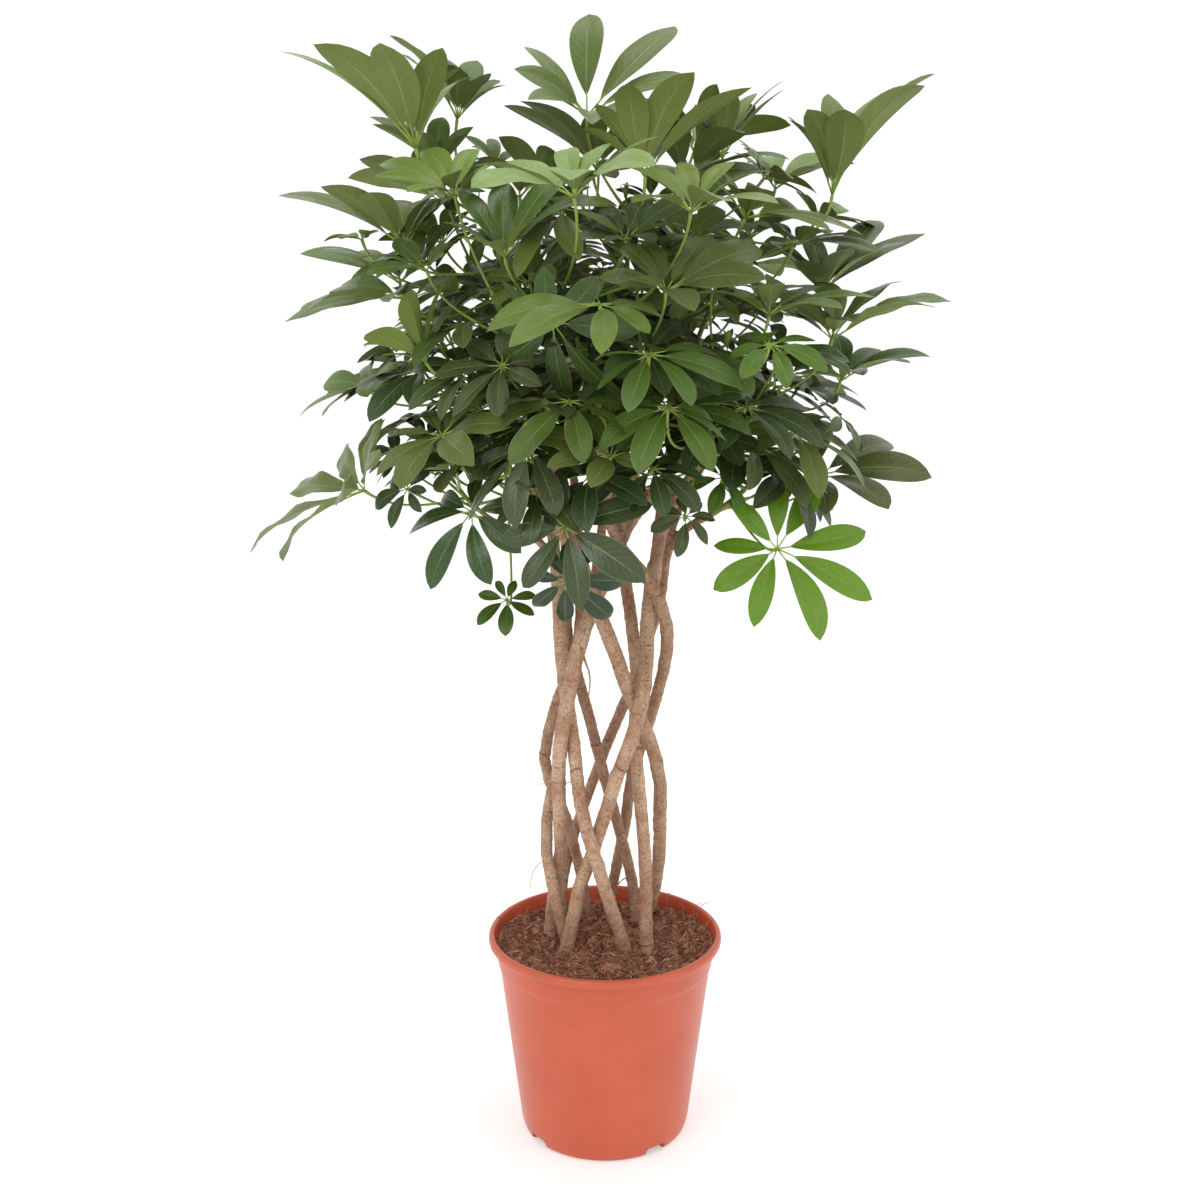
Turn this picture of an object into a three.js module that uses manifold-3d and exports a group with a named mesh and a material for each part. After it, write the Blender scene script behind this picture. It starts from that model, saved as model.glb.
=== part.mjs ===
// A potted umbrella plant. Ten woody stems stand in a ring in a round plastic grow pot and are woven
// into an open lattice. Each forks above the lattice into brown limbs, each limb ends in a green shoot,
// and each shoot carries umbrella leaves: a long thin stalk with a whorl of leaflets at its end.
// Millimetres, +Z up, the pot's foot on z = 0 and its axis on the Z axis. The viewer stands at -Y.

import * as THREE from "three";
import { mergeVertices } from "three/addons/utils/BufferGeometryUtils.js";
import Module from "manifold-3d";

const wasm = await Module();
wasm.setup();

// ---- driving dimensions ----

const POT = {
  rimRadius: 120,
  height: 214,
  wall: 2,
  footRadius: 82,
  sides: 36,
  notches: 4,
  notchTurn: 37, // degrees from the viewer's side to the first foot notch
  notchWide: 24,
  notchHigh: 8.5,
  drain: 6, // radius of the drain hole beside each notch
  drainAt: 60,
  hub: 26,
};
const SOIL = { edge: 202, mound: 205, gap: 0.4, hole: 0.35 };
const LATTICE = {
  depthLow: 32, // the ring of stems stands behind the pot's axis and leans forward to it
  depthHigh: 10,
  foot: 152,
  top: 632,
  step: 30,
  gap: 1.1,
  rounds: 150,
  easeUntil: 90, // the last rounds press without easing
  ease: 0.2,
  aside: 0.4, // how readily a crowded stem gives way across the view, against along it
  sides: 6,
};
const LIMB = { sides: 5, rings: 4, overlap: 12, thin: 0.5 };
const SHOOT = { sides: 4, rings: 4, base: 4.0, tip: 2.6, gap: 0.3 };
const PERCHES = [0.12, 0.26, 0.4, 0.54, 0.68, 0.82, 0.95]; // where leaves leave a shoot, as shares of it
const LEAF = { blade: 0.9, stalk: 1.5, crotch: 0.14, wing: 0.58, halfWidth: 0.22, arch: 0.05, gap: 0.35 };
const CROWN = { centre: new THREE.Vector3(0, 10, 790), hubRoom: 44, most: 108 };

// ---- the line of sight that the places below were read along ----

const SIGHT = { x: -5.2, y: -1523, z: 904, dip: 12.61, focal: 1583, middle: 600 };

// The point at depth y that is seen at pixel (px, py) of a picture 1200 pixels square.
function spot(px, py, y) {
  const dip = rad(SIGHT.dip);
  const right = (px - SIGHT.middle) / SIGHT.focal;
  const up = (SIGHT.middle - py) / SIGHT.focal;
  const reach = (y - SIGHT.y) / (Math.cos(dip) + up * Math.sin(dip));
  return new THREE.Vector3(
    SIGHT.x + right * reach,
    y,
    SIGHT.z + (up * Math.cos(dip) - Math.sin(dip)) * reach,
  );
}

// ---- small helpers ----

function rad(degrees) {
  return (degrees * Math.PI) / 180;
}

function mix(a, b, t) {
  return a + (b - a) * t;
}

// A seeded draw from 0 to 1.
function draw(seed) {
  const s = Math.sin(seed * 12.9898) * 43758.5453;
  return s - Math.floor(s);
}

function bezier(a, b, c, t) {
  const p = a.clone().multiplyScalar((1 - t) * (1 - t));
  return p.addScaledVector(b, 2 * t * (1 - t)).addScaledVector(c, t * t);
}

// A closed mesh of shared vertices as a solid.
function solidOf(vertices, triangles) {
  const flat = new Float32Array(vertices.flatMap((v) => [v.x, v.y, v.z]));
  const mesh = new wasm.Mesh({ numProp: 3, vertProperties: flat, triVerts: new Uint32Array(triangles) });
  return new wasm.Manifold(mesh);
}

function solidOfGeometry(geometry) {
  const bare = geometry.clone();
  bare.deleteAttribute("normal");
  bare.deleteAttribute("uv");
  const merged = mergeVertices(bare, 1e-4);
  const mesh = new wasm.Mesh({
    numProp: 3,
    vertProperties: new Float32Array(merged.attributes.position.array),
    triVerts: new Uint32Array(merged.index.array),
  });
  return new wasm.Manifold(mesh);
}

function geometryOf(solid) {
  const mesh = solid.getMesh();
  return new THREE.BufferGeometry()
    .setAttribute("position", new THREE.BufferAttribute(new Float32Array(mesh.vertProperties), 3))
    .setIndex(new THREE.BufferAttribute(new Uint32Array(mesh.triVerts), 1));
}

// A tube of flat facets along a path, with a radius at each point. Its rings lie across the path, or
// level throughout; the first and last ring can face given ways.
function tube(path, radii, sides, { level = false, first, last } = {}) {
  const vertices = [];
  const triangles = [];
  const across = new THREE.Vector3(1, 0, 0);
  path.forEach((p, i) => {
    const along = path[Math.min(i + 1, path.length - 1)].clone().sub(path[Math.max(i - 1, 0)]).normalize();
    if (level) along.set(0, 0, 1);
    if (first && i === 0) along.copy(first);
    if (last && i === path.length - 1) along.copy(last);
    across.addScaledVector(along, -across.dot(along)).normalize();
    const side = along.clone().cross(across);
    for (let k = 0; k < sides; k++) {
      const turn = (2 * Math.PI * k) / sides;
      const point = p.clone().addScaledVector(across, radii[i] * Math.cos(turn));
      vertices.push(point.addScaledVector(side, radii[i] * Math.sin(turn)));
    }
  });
  for (let i = 0; i + 1 < path.length; i++)
    for (let k = 0; k < sides; k++) {
      const a = i * sides + k;
      const b = i * sides + ((k + 1) % sides);
      triangles.push(a, b, b + sides, a, b + sides, a + sides);
    }
  const end = (path.length - 1) * sides;
  for (let k = 1; k + 1 < sides; k++) triangles.push(0, k + 1, k, end, end + k, end + k + 1);
  return solidOf(vertices, triangles);
}

// A shape turned on the pot's axis from points of [radius, height].
function turned(outline) {
  const points = outline.map(([r, z]) => new THREE.Vector2(r, z));
  return solidOfGeometry(new THREE.LatheGeometry(points, POT.sides).rotateX(Math.PI / 2));
}

// ---- the pot: one turned shell with a rolled rim, a shallow band and a notched foot ----

function potSolid() {
  const { rimRadius: rim, height, wall, footRadius: foot } = POT;
  const outline = [
    [0, 0],
    [POT.hub, 0],
    [POT.hub + 4, 5],
    [foot - 9, 5],
    [foot - 6, 0],
    [foot, 0],
    [foot + 4, 4.5],
    [foot + 6, 13],
    [rim - 11.4, height - 34],
    [rim - 9.6, height - 31],
    [rim - 7.6, height - 10.6],
    [rim - 1.8, height - 9.6],
    [rim, height - 5.6],
    [rim - 1.4, height - 1.4],
    [rim - 4, height],
    [rim - 6.6, height - 1.6],
    [rim - 8.2, height - 11],
    [rim - 9.6 - wall, height - 33],
    [foot + 6 - wall, 14],
    [foot + 2 - wall, 8],
    [POT.hub + 2, 8],
    [POT.hub - 2, 3],
    [0, 3],
  ];
  let pot = turned(outline);
  for (let k = 0; k < POT.notches; k++) {
    const turn = rad(POT.notchTurn + (360 * k) / POT.notches - 90);
    const notch = new THREE.BoxGeometry(30, POT.notchWide, 2 * POT.notchHigh).translate(foot, 0, 0);
    const drain = new THREE.CylinderGeometry(POT.drain, POT.drain, 12, 12).rotateX(Math.PI / 2);
    drain.translate(POT.drainAt, 0, 6);
    for (const cutter of [notch, drain]) pot = pot.subtract(solidOfGeometry(cutter.rotateZ(turn)));
  }
  return pot;
}

// ---- the stems: woven by hand, then pressed apart where they cross ----

// Each station is [px, py, depth]: where the stem's middle is seen, and how far behind (+) or in front of
// (-) the lattice's own axis it runs there. The first is at the soil and the last where the stem forks.
const STEMS = [
  {
    name: "stem_front_left",
    radius: [7.2, 7.8],
    path: [
      [565, 955, -47], [573, 917, -50], [581, 881, -50], [591, 856, -48], [599, 831, -50], [607, 807, -54],
      [619, 768, -56], [630, 741, -54], [638, 716, -50], [645, 680, -42], [650, 640, -34], [653, 606, -28],
      [655, 570, -22], [654, 538, -18],
    ],
  },
  {
    name: "stem_front_middle",
    radius: [7.4, 6.6],
    path: [
      [628, 955, -48], [618, 926, -54], [609, 900, -60], [601, 875, -65], [594, 852, -66], [587, 831, -63],
      [582, 811, -56], [578, 785, -49], [575, 760, -43], [572, 730, -38], [567, 700, -34], [562, 665, -30],
      [560, 630, -28], [558, 590, -27], [555, 540, -25],
    ],
  },
  {
    name: "stem_front_right",
    radius: [7.0, 6.6],
    path: [
      [646, 955, -46], [646, 913, -43], [647, 875, -40], [646, 836, -38], [644, 798, -34], [642, 760, -28],
      [641, 730, -18], [642, 700, -8], [641, 665, 6], [638, 646, 14], [634, 620, 24], [629, 590, 32],
      [621, 555, 38], [612, 520, 42],
    ],
  },
  {
    name: "stem_left",
    radius: [6.2, 8.2],
    path: [
      [548, 935, -20], [549, 915, -22], [551, 890, -24], [555, 862, -32], [556, 836, -40], [556, 798, -46],
      [557, 760, -50], [561, 730, -56], [567, 700, -60], [574, 665, -60], [581, 640, -56], [590, 612, -48],
      [600, 590, -42], [608, 570, -38], [627, 543, -36],
    ],
  },
  {
    name: "stem_right",
    radius: [6.6, 8.2],
    path: [
      [645, 915, 26], [650, 900, 20], [655, 875, 12], [657, 845, 8], [657, 815, 5], [657, 785, 0],
      [652, 760, -8], [645, 738, -20], [638, 722, -28], [631, 703, -40], [623, 680, -52], [615, 655, -60],
      [607, 634, -64], [600, 617, -65], [591, 595, -62], [583, 572, -57], [575, 550, -54],
    ],
  },
  {
    name: "stem_back_middle",
    radius: [5.8, 7.0],
    path: [
      [609, 900, 52], [613, 882, 54], [618, 855, 54], [625, 824, 52], [628, 795, 46], [633, 765, 38],
      [643, 735, 30], [651, 705, 20], [657, 680, 10], [661, 658, 0], [661, 640, -12], [656, 606, -36],
      [645, 583, -48], [633, 560, -56], [619, 543, -56], [600, 531, -48],
    ],
  },
  {
    name: "stem_back_left",
    radius: [5.8, 6.8],
    path: [
      [562, 905, 30], [564, 875, 36], [570, 850, 44], [579, 820, 50], [588, 795, 54], [598, 768, 56],
      [605, 749, 56], [617, 720, 50], [625, 703, 46], [634, 678, 38], [646, 640, 24], [658, 608, 12],
      [662, 575, 4], [666, 538, 2],
    ],
  },
  {
    name: "stem_back_right",
    radius: [6.0, 6.2],
    path: [
      [638, 908, 32], [636, 890, 36], [630, 862, 42], [621, 831, 44], [612, 800, 42], [602, 765, 38],
      [594, 732, 36], [588, 709, 33], [582, 686, 30], [576, 655, 20], [572, 630, 10], [571, 600, 2],
      [568, 545, -3],
    ],
  },
  {
    name: "stem_left_behind",
    radius: [5.8, 6.4],
    path: [
      [586, 905, 46], [582, 875, 40], [576, 849, 32], [571, 824, 24], [562, 800, 14], [553, 780, 6],
      [549, 755, 0], [551, 730, -2], [556, 705, 2], [563, 680, 8], [570, 655, 14], [576, 625, 19],
      [579, 590, 21], [578, 560, 22],
    ],
  },
  {
    name: "stem_left_outer",
    radius: [6.4, 6.0],
    path: [
      [565, 930, -34], [561, 913, -38], [556, 888, -40], [551, 862, -32], [548, 836, -20], [548, 811, -10],
      [551, 785, -8], [556, 765, 8], [562, 740, 22], [570, 700, 34], [577, 660, 42], [583, 625, 44],
      [592, 595, 42], [600, 560, 38],
    ],
  },
];

const LEVELS = Math.round((LATTICE.top - LATTICE.foot) / LATTICE.step) + 1;

// The stem's middle at each level, as read, before the stems press on each other.
function stemAsRead(stem) {
  const stations = stem.path.map(([px, py, depth], i) => {
    const lean = mix(LATTICE.depthLow, LATTICE.depthHigh, i / (stem.path.length - 1));
    return spot(px, py, depth + lean);
  });
  const start = stations[0].clone().sub(stations[1]);
  start.multiplyScalar((stations[0].z - LATTICE.foot + 1) / -start.z);
  stations.unshift(stations[0].clone().add(start));
  const curve = new THREE.CatmullRomCurve3(stations, false, "catmullrom", 0.5);
  const fine = Array.from({ length: 241 }, (_, i) => curve.getPoint(i / 240));
  const middle = [];
  for (let i = 0; i < LEVELS; i++) {
    const z = LATTICE.foot + i * LATTICE.step;
    const next = fine.findIndex((p) => p.z > z);
    if (next < 1) break;
    const a = fine[next - 1];
    const b = fine[next];
    middle.push(a.clone().lerp(b, (z - a.z) / (b.z - a.z)));
  }
  return middle;
}

function stemRadius(stem, level) {
  return mix(stem.radius[0], stem.radius[1], level / (LEVELS - 1));
}

// Shares the way a stem has given way with the parts above and below, so that it bends and has no kink.
function ease(middle, free) {
  const given = middle.map((p, i) => p.clone().sub(free[i]));
  for (let i = 1; i + 1 < middle.length; i++) {
    const shared = given[i - 1].clone().add(given[i + 1]).multiplyScalar(0.5).add(free[i]);
    middle[i].lerp(shared, LATTICE.ease);
  }
}

// Stems that come closer than their bark allows press each other aside, a little at a time.
function pressApart(middles) {
  const between = (middle, i, t) => middle[i].clone().lerp(middle[i + 1], t);
  const free = middles.map((middle) => middle.map((p) => p.clone()));
  for (let round = 0; round < LATTICE.rounds; round++) {
    if (round < LATTICE.easeUntil) middles.forEach((middle, s) => ease(middle, free[s]));
    for (let a = 0; a < STEMS.length; a++)
      for (let b = a + 1; b < STEMS.length; b++)
        for (let i = 0; i + 1 < Math.min(middles[a].length, middles[b].length); i++)
          for (const t of [0, 0.25, 0.5, 0.75, 1]) {
            const apart = between(middles[b], i, t).sub(between(middles[a], i, t));
            const room = 1.02 * (stemRadius(STEMS[a], i) + stemRadius(STEMS[b], i)) + LATTICE.gap;
            const short = room - apart.length();
            if (short <= 0) continue;
            apart.x *= LATTICE.aside;
            apart.normalize();
            for (const [k, share] of [[i, 1 - t], [i + 1, t]]) {
              middles[a][k].addScaledVector(apart, -0.3 * short * share);
              middles[b][k].addScaledVector(apart, 0.3 * short * share);
            }
          }
  }
}

const middles = STEMS.map(stemAsRead);
pressApart(middles);

// ---- limbs and shoots ----

// Where each limb ends and where its shoot's tip is, as [bearing, distance from the axis, height]. A
// bearing is in degrees: 0 towards the viewer, 90 to the viewer's right, 180 away.
const FORKS = {
  stem_left: [
    { end: [22, 84, 742], tip: [14, 112, 860] },
    { end: [52, 98, 716], tip: [50, 142, 812] },
  ],
  stem_front_left: [
    { end: [72, 96, 706], tip: [72, 150, 770] },
    { end: [78, 76, 782], tip: [82, 122, 892] },
  ],
  stem_back_left: [
    { end: [100, 94, 690], tip: [104, 150, 752] },
    { end: [108, 66, 792], tip: [112, 104, 930] },
    { end: [90, 100, 648], tip: [88, 152, 692] },
  ],
  stem_front_right: [
    { end: [140, 82, 752], tip: [142, 138, 856] },
    { end: [168, 52, 800], tip: [160, 60, 944] },
    { end: [142, 92, 668], tip: [142, 148, 722] },
  ],
  stem_left_outer: [
    { end: [184, 84, 728], tip: [182, 146, 806] },
    { end: [200, 50, 800], tip: [214, 66, 930] },
  ],
  stem_left_behind: [
    { end: [226, 88, 712], tip: [226, 150, 782] },
    { end: [224, 72, 786], tip: [234, 122, 884] },
  ],
  stem_back_right: [
    { end: [262, 92, 690], tip: [258, 150, 748] },
    { end: [262, 74, 776], tip: [258, 128, 880] },
  ],
  stem_front_middle: [
    { end: [288, 94, 716], tip: [286, 150, 800] },
    { end: [286, 70, 792], tip: [284, 116, 936] },
    { end: [296, 98, 642], tip: [292, 150, 684] },
  ],
  stem_right: [
    { end: [322, 86, 740], tip: [318, 134, 842] },
    { end: [318, 94, 664], tip: [322, 142, 716] },
  ],
  stem_back_middle: [
    { end: [348, 84, 752], tip: [342, 122, 876] },
    { end: [2, 92, 690], tip: [358, 140, 760] },
    { end: [350, 40, 806], tip: [20, 44, 940] },
  ],
};

function polar([bearing, distance, height]) {
  const b = rad(bearing);
  return new THREE.Vector3(distance * Math.sin(b), -distance * Math.cos(b), height);
}

// The limb's three guide points: inside the stem's top, on along the stem, and its end.
function limbGuide(middle, end, stiff) {
  const top = middle[middle.length - 1];
  const along = top.clone().sub(middle[middle.length - 3]).normalize();
  const start = top.clone().addScaledVector(along, -LIMB.overlap);
  const bend = start.clone().addScaledVector(along, stiff * end.distanceTo(start));
  bend.z = mix(bend.z, end.z, 0.2);
  return [start, bend, end];
}

function shootGuide(limb, tip) {
  const along = limb[2].clone().sub(limb[1]).normalize();
  const start = limb[2].clone().addScaledVector(along, SHOOT.gap);
  return [start, start.clone().addScaledVector(along, 0.4 * tip.distanceTo(start)), tip];
}

function along(guide, count) {
  return Array.from({ length: count }, (_, i) => bezier(...guide, i / (count - 1)));
}

// A stem below its fork, with bark that is grown out or in by a little.
function trunkSolid(s, grow = 0) {
  const path = middles[s].map((p) => p.clone());
  path[0].z -= grow;
  return tube(path, path.map((_, i) => stemRadius(STEMS[s], i) + grow), LATTICE.sides, { level: true });
}

function limbSolid(s, guide, grow = 0) {
  const thick = STEMS[s].radius[1];
  const radii = Array.from({ length: LIMB.rings }, (_, i) =>
    mix(0.8 * thick, LIMB.thin * thick + 0.6, i / (LIMB.rings - 1)) + grow,
  );
  const last = guide[2].clone().sub(guide[1]).normalize();
  return tube(along(guide, LIMB.rings), radii, LIMB.sides, { last });
}

function shootSolid(guide, grow = 0) {
  const radii = Array.from({ length: SHOOT.rings }, (_, i) =>
    mix(SHOOT.base, SHOOT.tip, i / (SHOOT.rings - 1)) + grow,
  );
  const first = guide[1].clone().sub(guide[0]).normalize();
  return tube(along(guide, SHOOT.rings), radii, SHOOT.sides, { first });
}

// The point a share t of the way up a shoot, on the straight pieces its tube is made of.
function onShoot(shoot, t) {
  const path = along(shoot.guide, SHOOT.rings);
  const i = Math.min(Math.floor(t * (path.length - 1)), path.length - 2);
  return path[i].clone().lerp(path[i + 1], t * (path.length - 1) - i);
}

function meets(a, b) {
  return !a.intersect(b).isEmpty();
}

// Each limb and its shoot take the first of a few bearings and bends that clears the wood there is.
const wood = STEMS.map((_, s) => [trunkSolid(s)]);
const SHOOTS = [];
for (const [s, stem] of STEMS.entries())
  for (const [k, fork] of FORKS[stem.name].entries()) {
    const shifts = [0, 7, -7, 14, -14, 21, -21, 28, -28];
    const ways = shifts.flatMap((shift) => [0.45, 0.3, 0.6].map((stiff) => [shift, stiff]));
    ways.some(([shift, stiff]) => {
      const aside = ([bearing, distance, height]) => polar([bearing + shift, distance, height]);
      const limb = limbGuide(middles[s], aside(fork.end), stiff);
      const guide = shootGuide(limb, aside(fork.tip));
      const thickLimb = limbSolid(s, limb, 0.5);
      const thickShoot = shootSolid(guide, 0.5);
      const freeLimb = wood.every((parts, o) => o === s || !parts.some((part) => meets(part, thickLimb)));
      const freeShoot = wood.every((parts) => !parts.some((part) => meets(part, thickShoot)));
      const apart = SHOOTS.every(({ solid }) => !meets(solid, thickLimb) && !meets(solid, thickShoot));
      if (!freeLimb || !freeShoot || !apart) return false;
      wood[s].push(limbSolid(s, limb));
      const name = `${stem.name.replace("stem", "shoot")}_${k + 1}`;
      SHOOTS.push({ name, guide, solid: shootSolid(guide) });
      return true;
    });
  }

// ---- umbrella leaves ----

// Leaves that show, each read along the line of sight: hub at pixel (px, py) and depth y, size from hub to
// leaflet tip, facing bearing az and tilt from straight up, cup, how far its leaflets rise (+) or droop (-),
// and for some the pixel that the tip of the longest leaflet is seen at.
const SHOWN = [
  { px: 777, py: 549, y: -105, size: 98, az: 8, tilt: 66, cup: 2, leaflets: 9, tip: [872, 605] },
  { px: 818, py: 476, y: -45, size: 108, az: 10, tilt: 28, cup: 9, leaflets: 8, tip: [925, 507] },
  { px: 587, py: 117, y: 10, size: 124, az: 8, tilt: 32, cup: 28, leaflets: 8, tip: [645, 17] },
  { px: 416, py: 149, y: -60, size: 144, az: -85, tilt: 8, cup: 43, tip: [287, 61] },
  { px: 832, py: 196, y: -20, size: 140, az: 85, tilt: 3, cup: 53, tip: [905, 76] },
  { px: 365, py: 491, y: -50, size: 126, az: -72, tilt: 50, cup: 20, leaflets: 6, tip: [253, 558] },
  { px: 565, py: 527, y: -170, size: 86, az: -5, tilt: 62, cup: -2, leaflets: 8, tip: [640, 586] },
  { px: 645, py: 178, y: -100, size: 118, az: 180, tilt: 12, cup: 38, tip: [728, 96] },
  { px: 457, py: 120, y: 35, size: 100, az: 60, tilt: 12, cup: 40, tip: [403, 55] },
  { px: 598, py: 172, y: 50, size: 110, az: -75, tilt: 4, cup: 38, tip: [511, 103] },
  { px: 722, py: 160, y: 20, size: 92, az: 60, tilt: 4, cup: 55, tip: [755, 95] },
  { px: 405, py: 248, y: -60, size: 122, az: -80, tilt: 12, cup: 34, tip: [288, 200] },
  { px: 410, py: 300, y: -50, size: 118, az: -60, tilt: 16, cup: 4, tip: [295, 326] },
  { px: 820, py: 296, y: 30, size: 116, az: 30, tilt: 14, cup: 36, tip: [913, 228] },
  { px: 832, py: 340, y: -70, size: 112, az: 60, tilt: 10, cup: 26, tip: [937, 296] },
  { px: 840, py: 382, y: -20, size: 88, az: 50, tilt: 12, cup: 24, tip: [918, 350] },
  { px: 370, py: 387, y: -20, size: 76, az: -60, tilt: 34, cup: 6, tip: [303, 408] },
  { px: 600, py: 305, y: -190, size: 98, az: 0, tilt: 14, cup: -14, tip: [503, 297] },
  { px: 649, py: 355, y: -190, size: 84, az: 0, tilt: 22, cup: -16, tip: [723, 398] },
  { px: 769, py: 345, y: -185, size: 54, az: 0, tilt: 34, cup: -14, tip: [815, 380] },
  { px: 745, py: 219, y: -80, size: 106, az: 80, tilt: 28, cup: 20, tip: [835, 237] },
  { px: 505, py: 258, y: -150, size: 96, az: -15, tilt: 24, cup: 34, tip: [540, 171] },
  { px: 769, py: 316, y: -150, size: 92, az: 90, tilt: 8, cup: 18, tip: [853, 273] },
  { px: 426, py: 362, y: -120, size: 92, az: -110, tilt: 30, cup: 36, tip: [410, 277] },
  { px: 472, py: 512, y: -120, size: 80, az: -30, tilt: 54, cup: -16, leaflets: 6, tip: [439, 583] },
  { px: 530, py: 446, y: -160, size: 84, az: -20, tilt: 26, cup: -34, tip: [485, 515] },
  { px: 610, py: 458, y: -150, size: 76, az: -5, tilt: 24, cup: 14, tip: [540, 425] },
  { px: 503, py: 366, y: -130, size: 64, az: -20, tilt: 50, cup: 0, leaflets: 6 },
  { px: 566, py: 580, y: -110, size: 58, az: -10, tilt: 82, cup: -25, leaflets: 6 },
  { px: 507, py: 600, y: -50, size: 40, az: -10, tilt: 46, cup: 0, leaflets: 7 },
  { px: 408, py: 489, y: -90, size: 42, az: -40, tilt: 58, cup: -5, leaflets: 6 },
  { px: 398, py: 458, y: -60, size: 38, az: -30, tilt: 48, cup: 2, leaflets: 5 },
  { px: 686, py: 517, y: -130, size: 38, az: 10, tilt: 55, cup: -10, leaflets: 7 },
  { px: 723, py: 478, y: -90, size: 42, az: 15, tilt: 45, cup: -8, leaflets: 6 },
  { px: 841, py: 418, y: -10, size: 42, az: 80, tilt: 44, cup: -10, leaflets: 5 },
  { px: 362, py: 240, y: -30, size: 36, az: -90, tilt: 15, cup: 12, leaflets: 5 },
  { px: 815, py: 222, y: 60, size: 64, az: 90, tilt: 28, cup: 22, leaflets: 6 },
  { px: 400, py: 284, y: 40, size: 102, az: -70, tilt: 8, cup: 24, tip: [308, 254] },
  { px: 431, py: 440, y: -80, size: 74, az: -60, tilt: 28, cup: -6 },
  { px: 478, py: 452, y: -50, size: 66, az: -30, tilt: 24, cup: -8 },
  { px: 497, py: 168, y: 60, size: 44, az: 60, tilt: 20, cup: 25, leaflets: 6 },
  { px: 540, py: 196, y: 50, size: 74, az: 150, tilt: 12, cup: 32 },
  { px: 600, py: 238, y: -90, size: 84, az: -10, tilt: 12, cup: 34 },
  { px: 550, py: 244, y: -70, size: 76, az: -20, tilt: 15, cup: 12 },
  { px: 700, py: 206, y: 10, size: 84, az: 30, tilt: 14, cup: 26 },
  { px: 793, py: 246, y: -60, size: 80, az: 60, tilt: 18, cup: 14 },
  { px: 775, py: 190, y: 60, size: 88, az: 50, tilt: 12, cup: 26 },
  { px: 455, py: 196, y: -100, size: 80, az: -40, tilt: 15, cup: 24 },
  { px: 795, py: 432, y: -60, size: 82, az: 40, tilt: 30, cup: -8 },
  { px: 745, py: 408, y: -110, size: 80, az: 20, tilt: 22, cup: -14 },
  { px: 440, py: 172, y: -10, size: 84, az: -40, tilt: 10, cup: 42 },
  { px: 766, py: 296, y: -20, size: 78, az: 60, tilt: 18, cup: 6 },
  { px: 712, py: 292, y: -140, size: 92, az: 20, tilt: 16, cup: -8 },
  { px: 553, py: 322, y: -140, size: 92, az: -20, tilt: 18, cup: -12 },
  { px: 570, py: 402, y: -130, size: 84, az: -10, tilt: 20, cup: -18 },
  { px: 668, py: 408, y: -150, size: 78, az: 10, tilt: 24, cup: -18 },
];

const perches = SHOOTS.flatMap((shoot, s) =>
  PERCHES.map((t, k) => ({ shoot: s, order: k, at: onShoot(shoot, t), taken: false })),
);
const hubs = [];

function facing(az, tilt) {
  const [a, t] = [rad(az), rad(tilt)];
  return new THREE.Vector3(Math.sin(t) * Math.sin(a), -Math.sin(t) * Math.cos(a), Math.cos(t));
}

// The free perches that suit a hub best: a stalk of middling length, leaving away from the crown's middle.
function perchesFor(hub) {
  const cost = ({ at }) => {
    const stalk = hub.clone().sub(at);
    const out = at.clone().sub(CROWN.centre).setZ(40).normalize();
    return Math.abs(stalk.length() - 95) - 30 * out.dot(stalk.normalize());
  };
  const free = perches.filter((perch) => !perch.taken);
  return free.sort((a, b) => cost(a) - cost(b)).slice(0, 12);
}

// A shown leaf's ways to lie, first as read and then a little aside: nearer or farther, turned, tipped.
function waysShown(leaf) {
  const ways = [];
  for (const [turn, tip] of [[0, 0], [0.5, 0], [0.25, 8], [0.75, -8]])
    for (const shift of [0, 10, -10, 20, -20, 32, -32, 45])
      ways.push({
        ...leaf,
        hub: spot(leaf.px, leaf.py, leaf.y + shift),
        lead: leaf.tip && spot(...leaf.tip, leaf.y + shift),
        face: facing(leaf.az, leaf.tilt + tip),
        turn,
      });
  return ways;
}

// Other leaves stand round their shoot, away from the middle of the crown and from the hubs already there.
function waysGrown(perch, seed) {
  const axis = SHOOTS[perch.shoot].guide;
  const lead = axis[2].clone().sub(axis[0]).normalize();
  const ways = [];
  for (let k = 0; k < 24; k++) {
    const turn = rad(15 * k + 137.5 * seed);
    const lateral = new THREE.Vector3(Math.cos(turn), Math.sin(turn), 0.25);
    const go = lateral.addScaledVector(lead, 0.2 + 0.8 * PERCHES[perch.order]).normalize();
    const hub = perch.at.clone().addScaledVector(go, 62 + 50 * draw(seed + 0.37 * k));
    const out = hub.clone().sub(CROWN.centre);
    const spread = Math.hypot(out.x, out.y);
    if (spread > 232 || out.z > 225 || out.z < -215 || spread < 40) continue;
    if (out.z < -120 && spread < 120) continue;
    const room = Math.min(...hubs.map((h) => h.distanceTo(hub)));
    if (room < CROWN.hubRoom) continue;
    const high = THREE.MathUtils.clamp((hub.z - 620) / 380, 0, 1);
    const size = mix(74, 108, high) + 22 * (draw(seed + 0.11 * k) - 0.5);
    const face = out.clone().setZ(0).normalize().multiplyScalar(mix(0.7, 0.3, high));
    face.z = 1;
    face.x += 0.3 * (draw(seed + 3.1) - 0.5);
    face.y += 0.3 * (draw(seed + 5.7) - 0.5);
    ways.push({
      size,
      hub,
      face: face.normalize(),
      cup: mix(-14, 36, high) + 10 * (draw(seed + 7.9) - 0.5),
      turn: draw(seed + 9.3),
      leaflets: 5,
      score: room + 0.35 * spread,
    });
  }
  const best = ways.sort((a, b) => b.score - a.score).slice(0, 12);
  return [...best, ...best.map((way) => ({ ...way, size: 0.75 * way.size }))];
}

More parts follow.
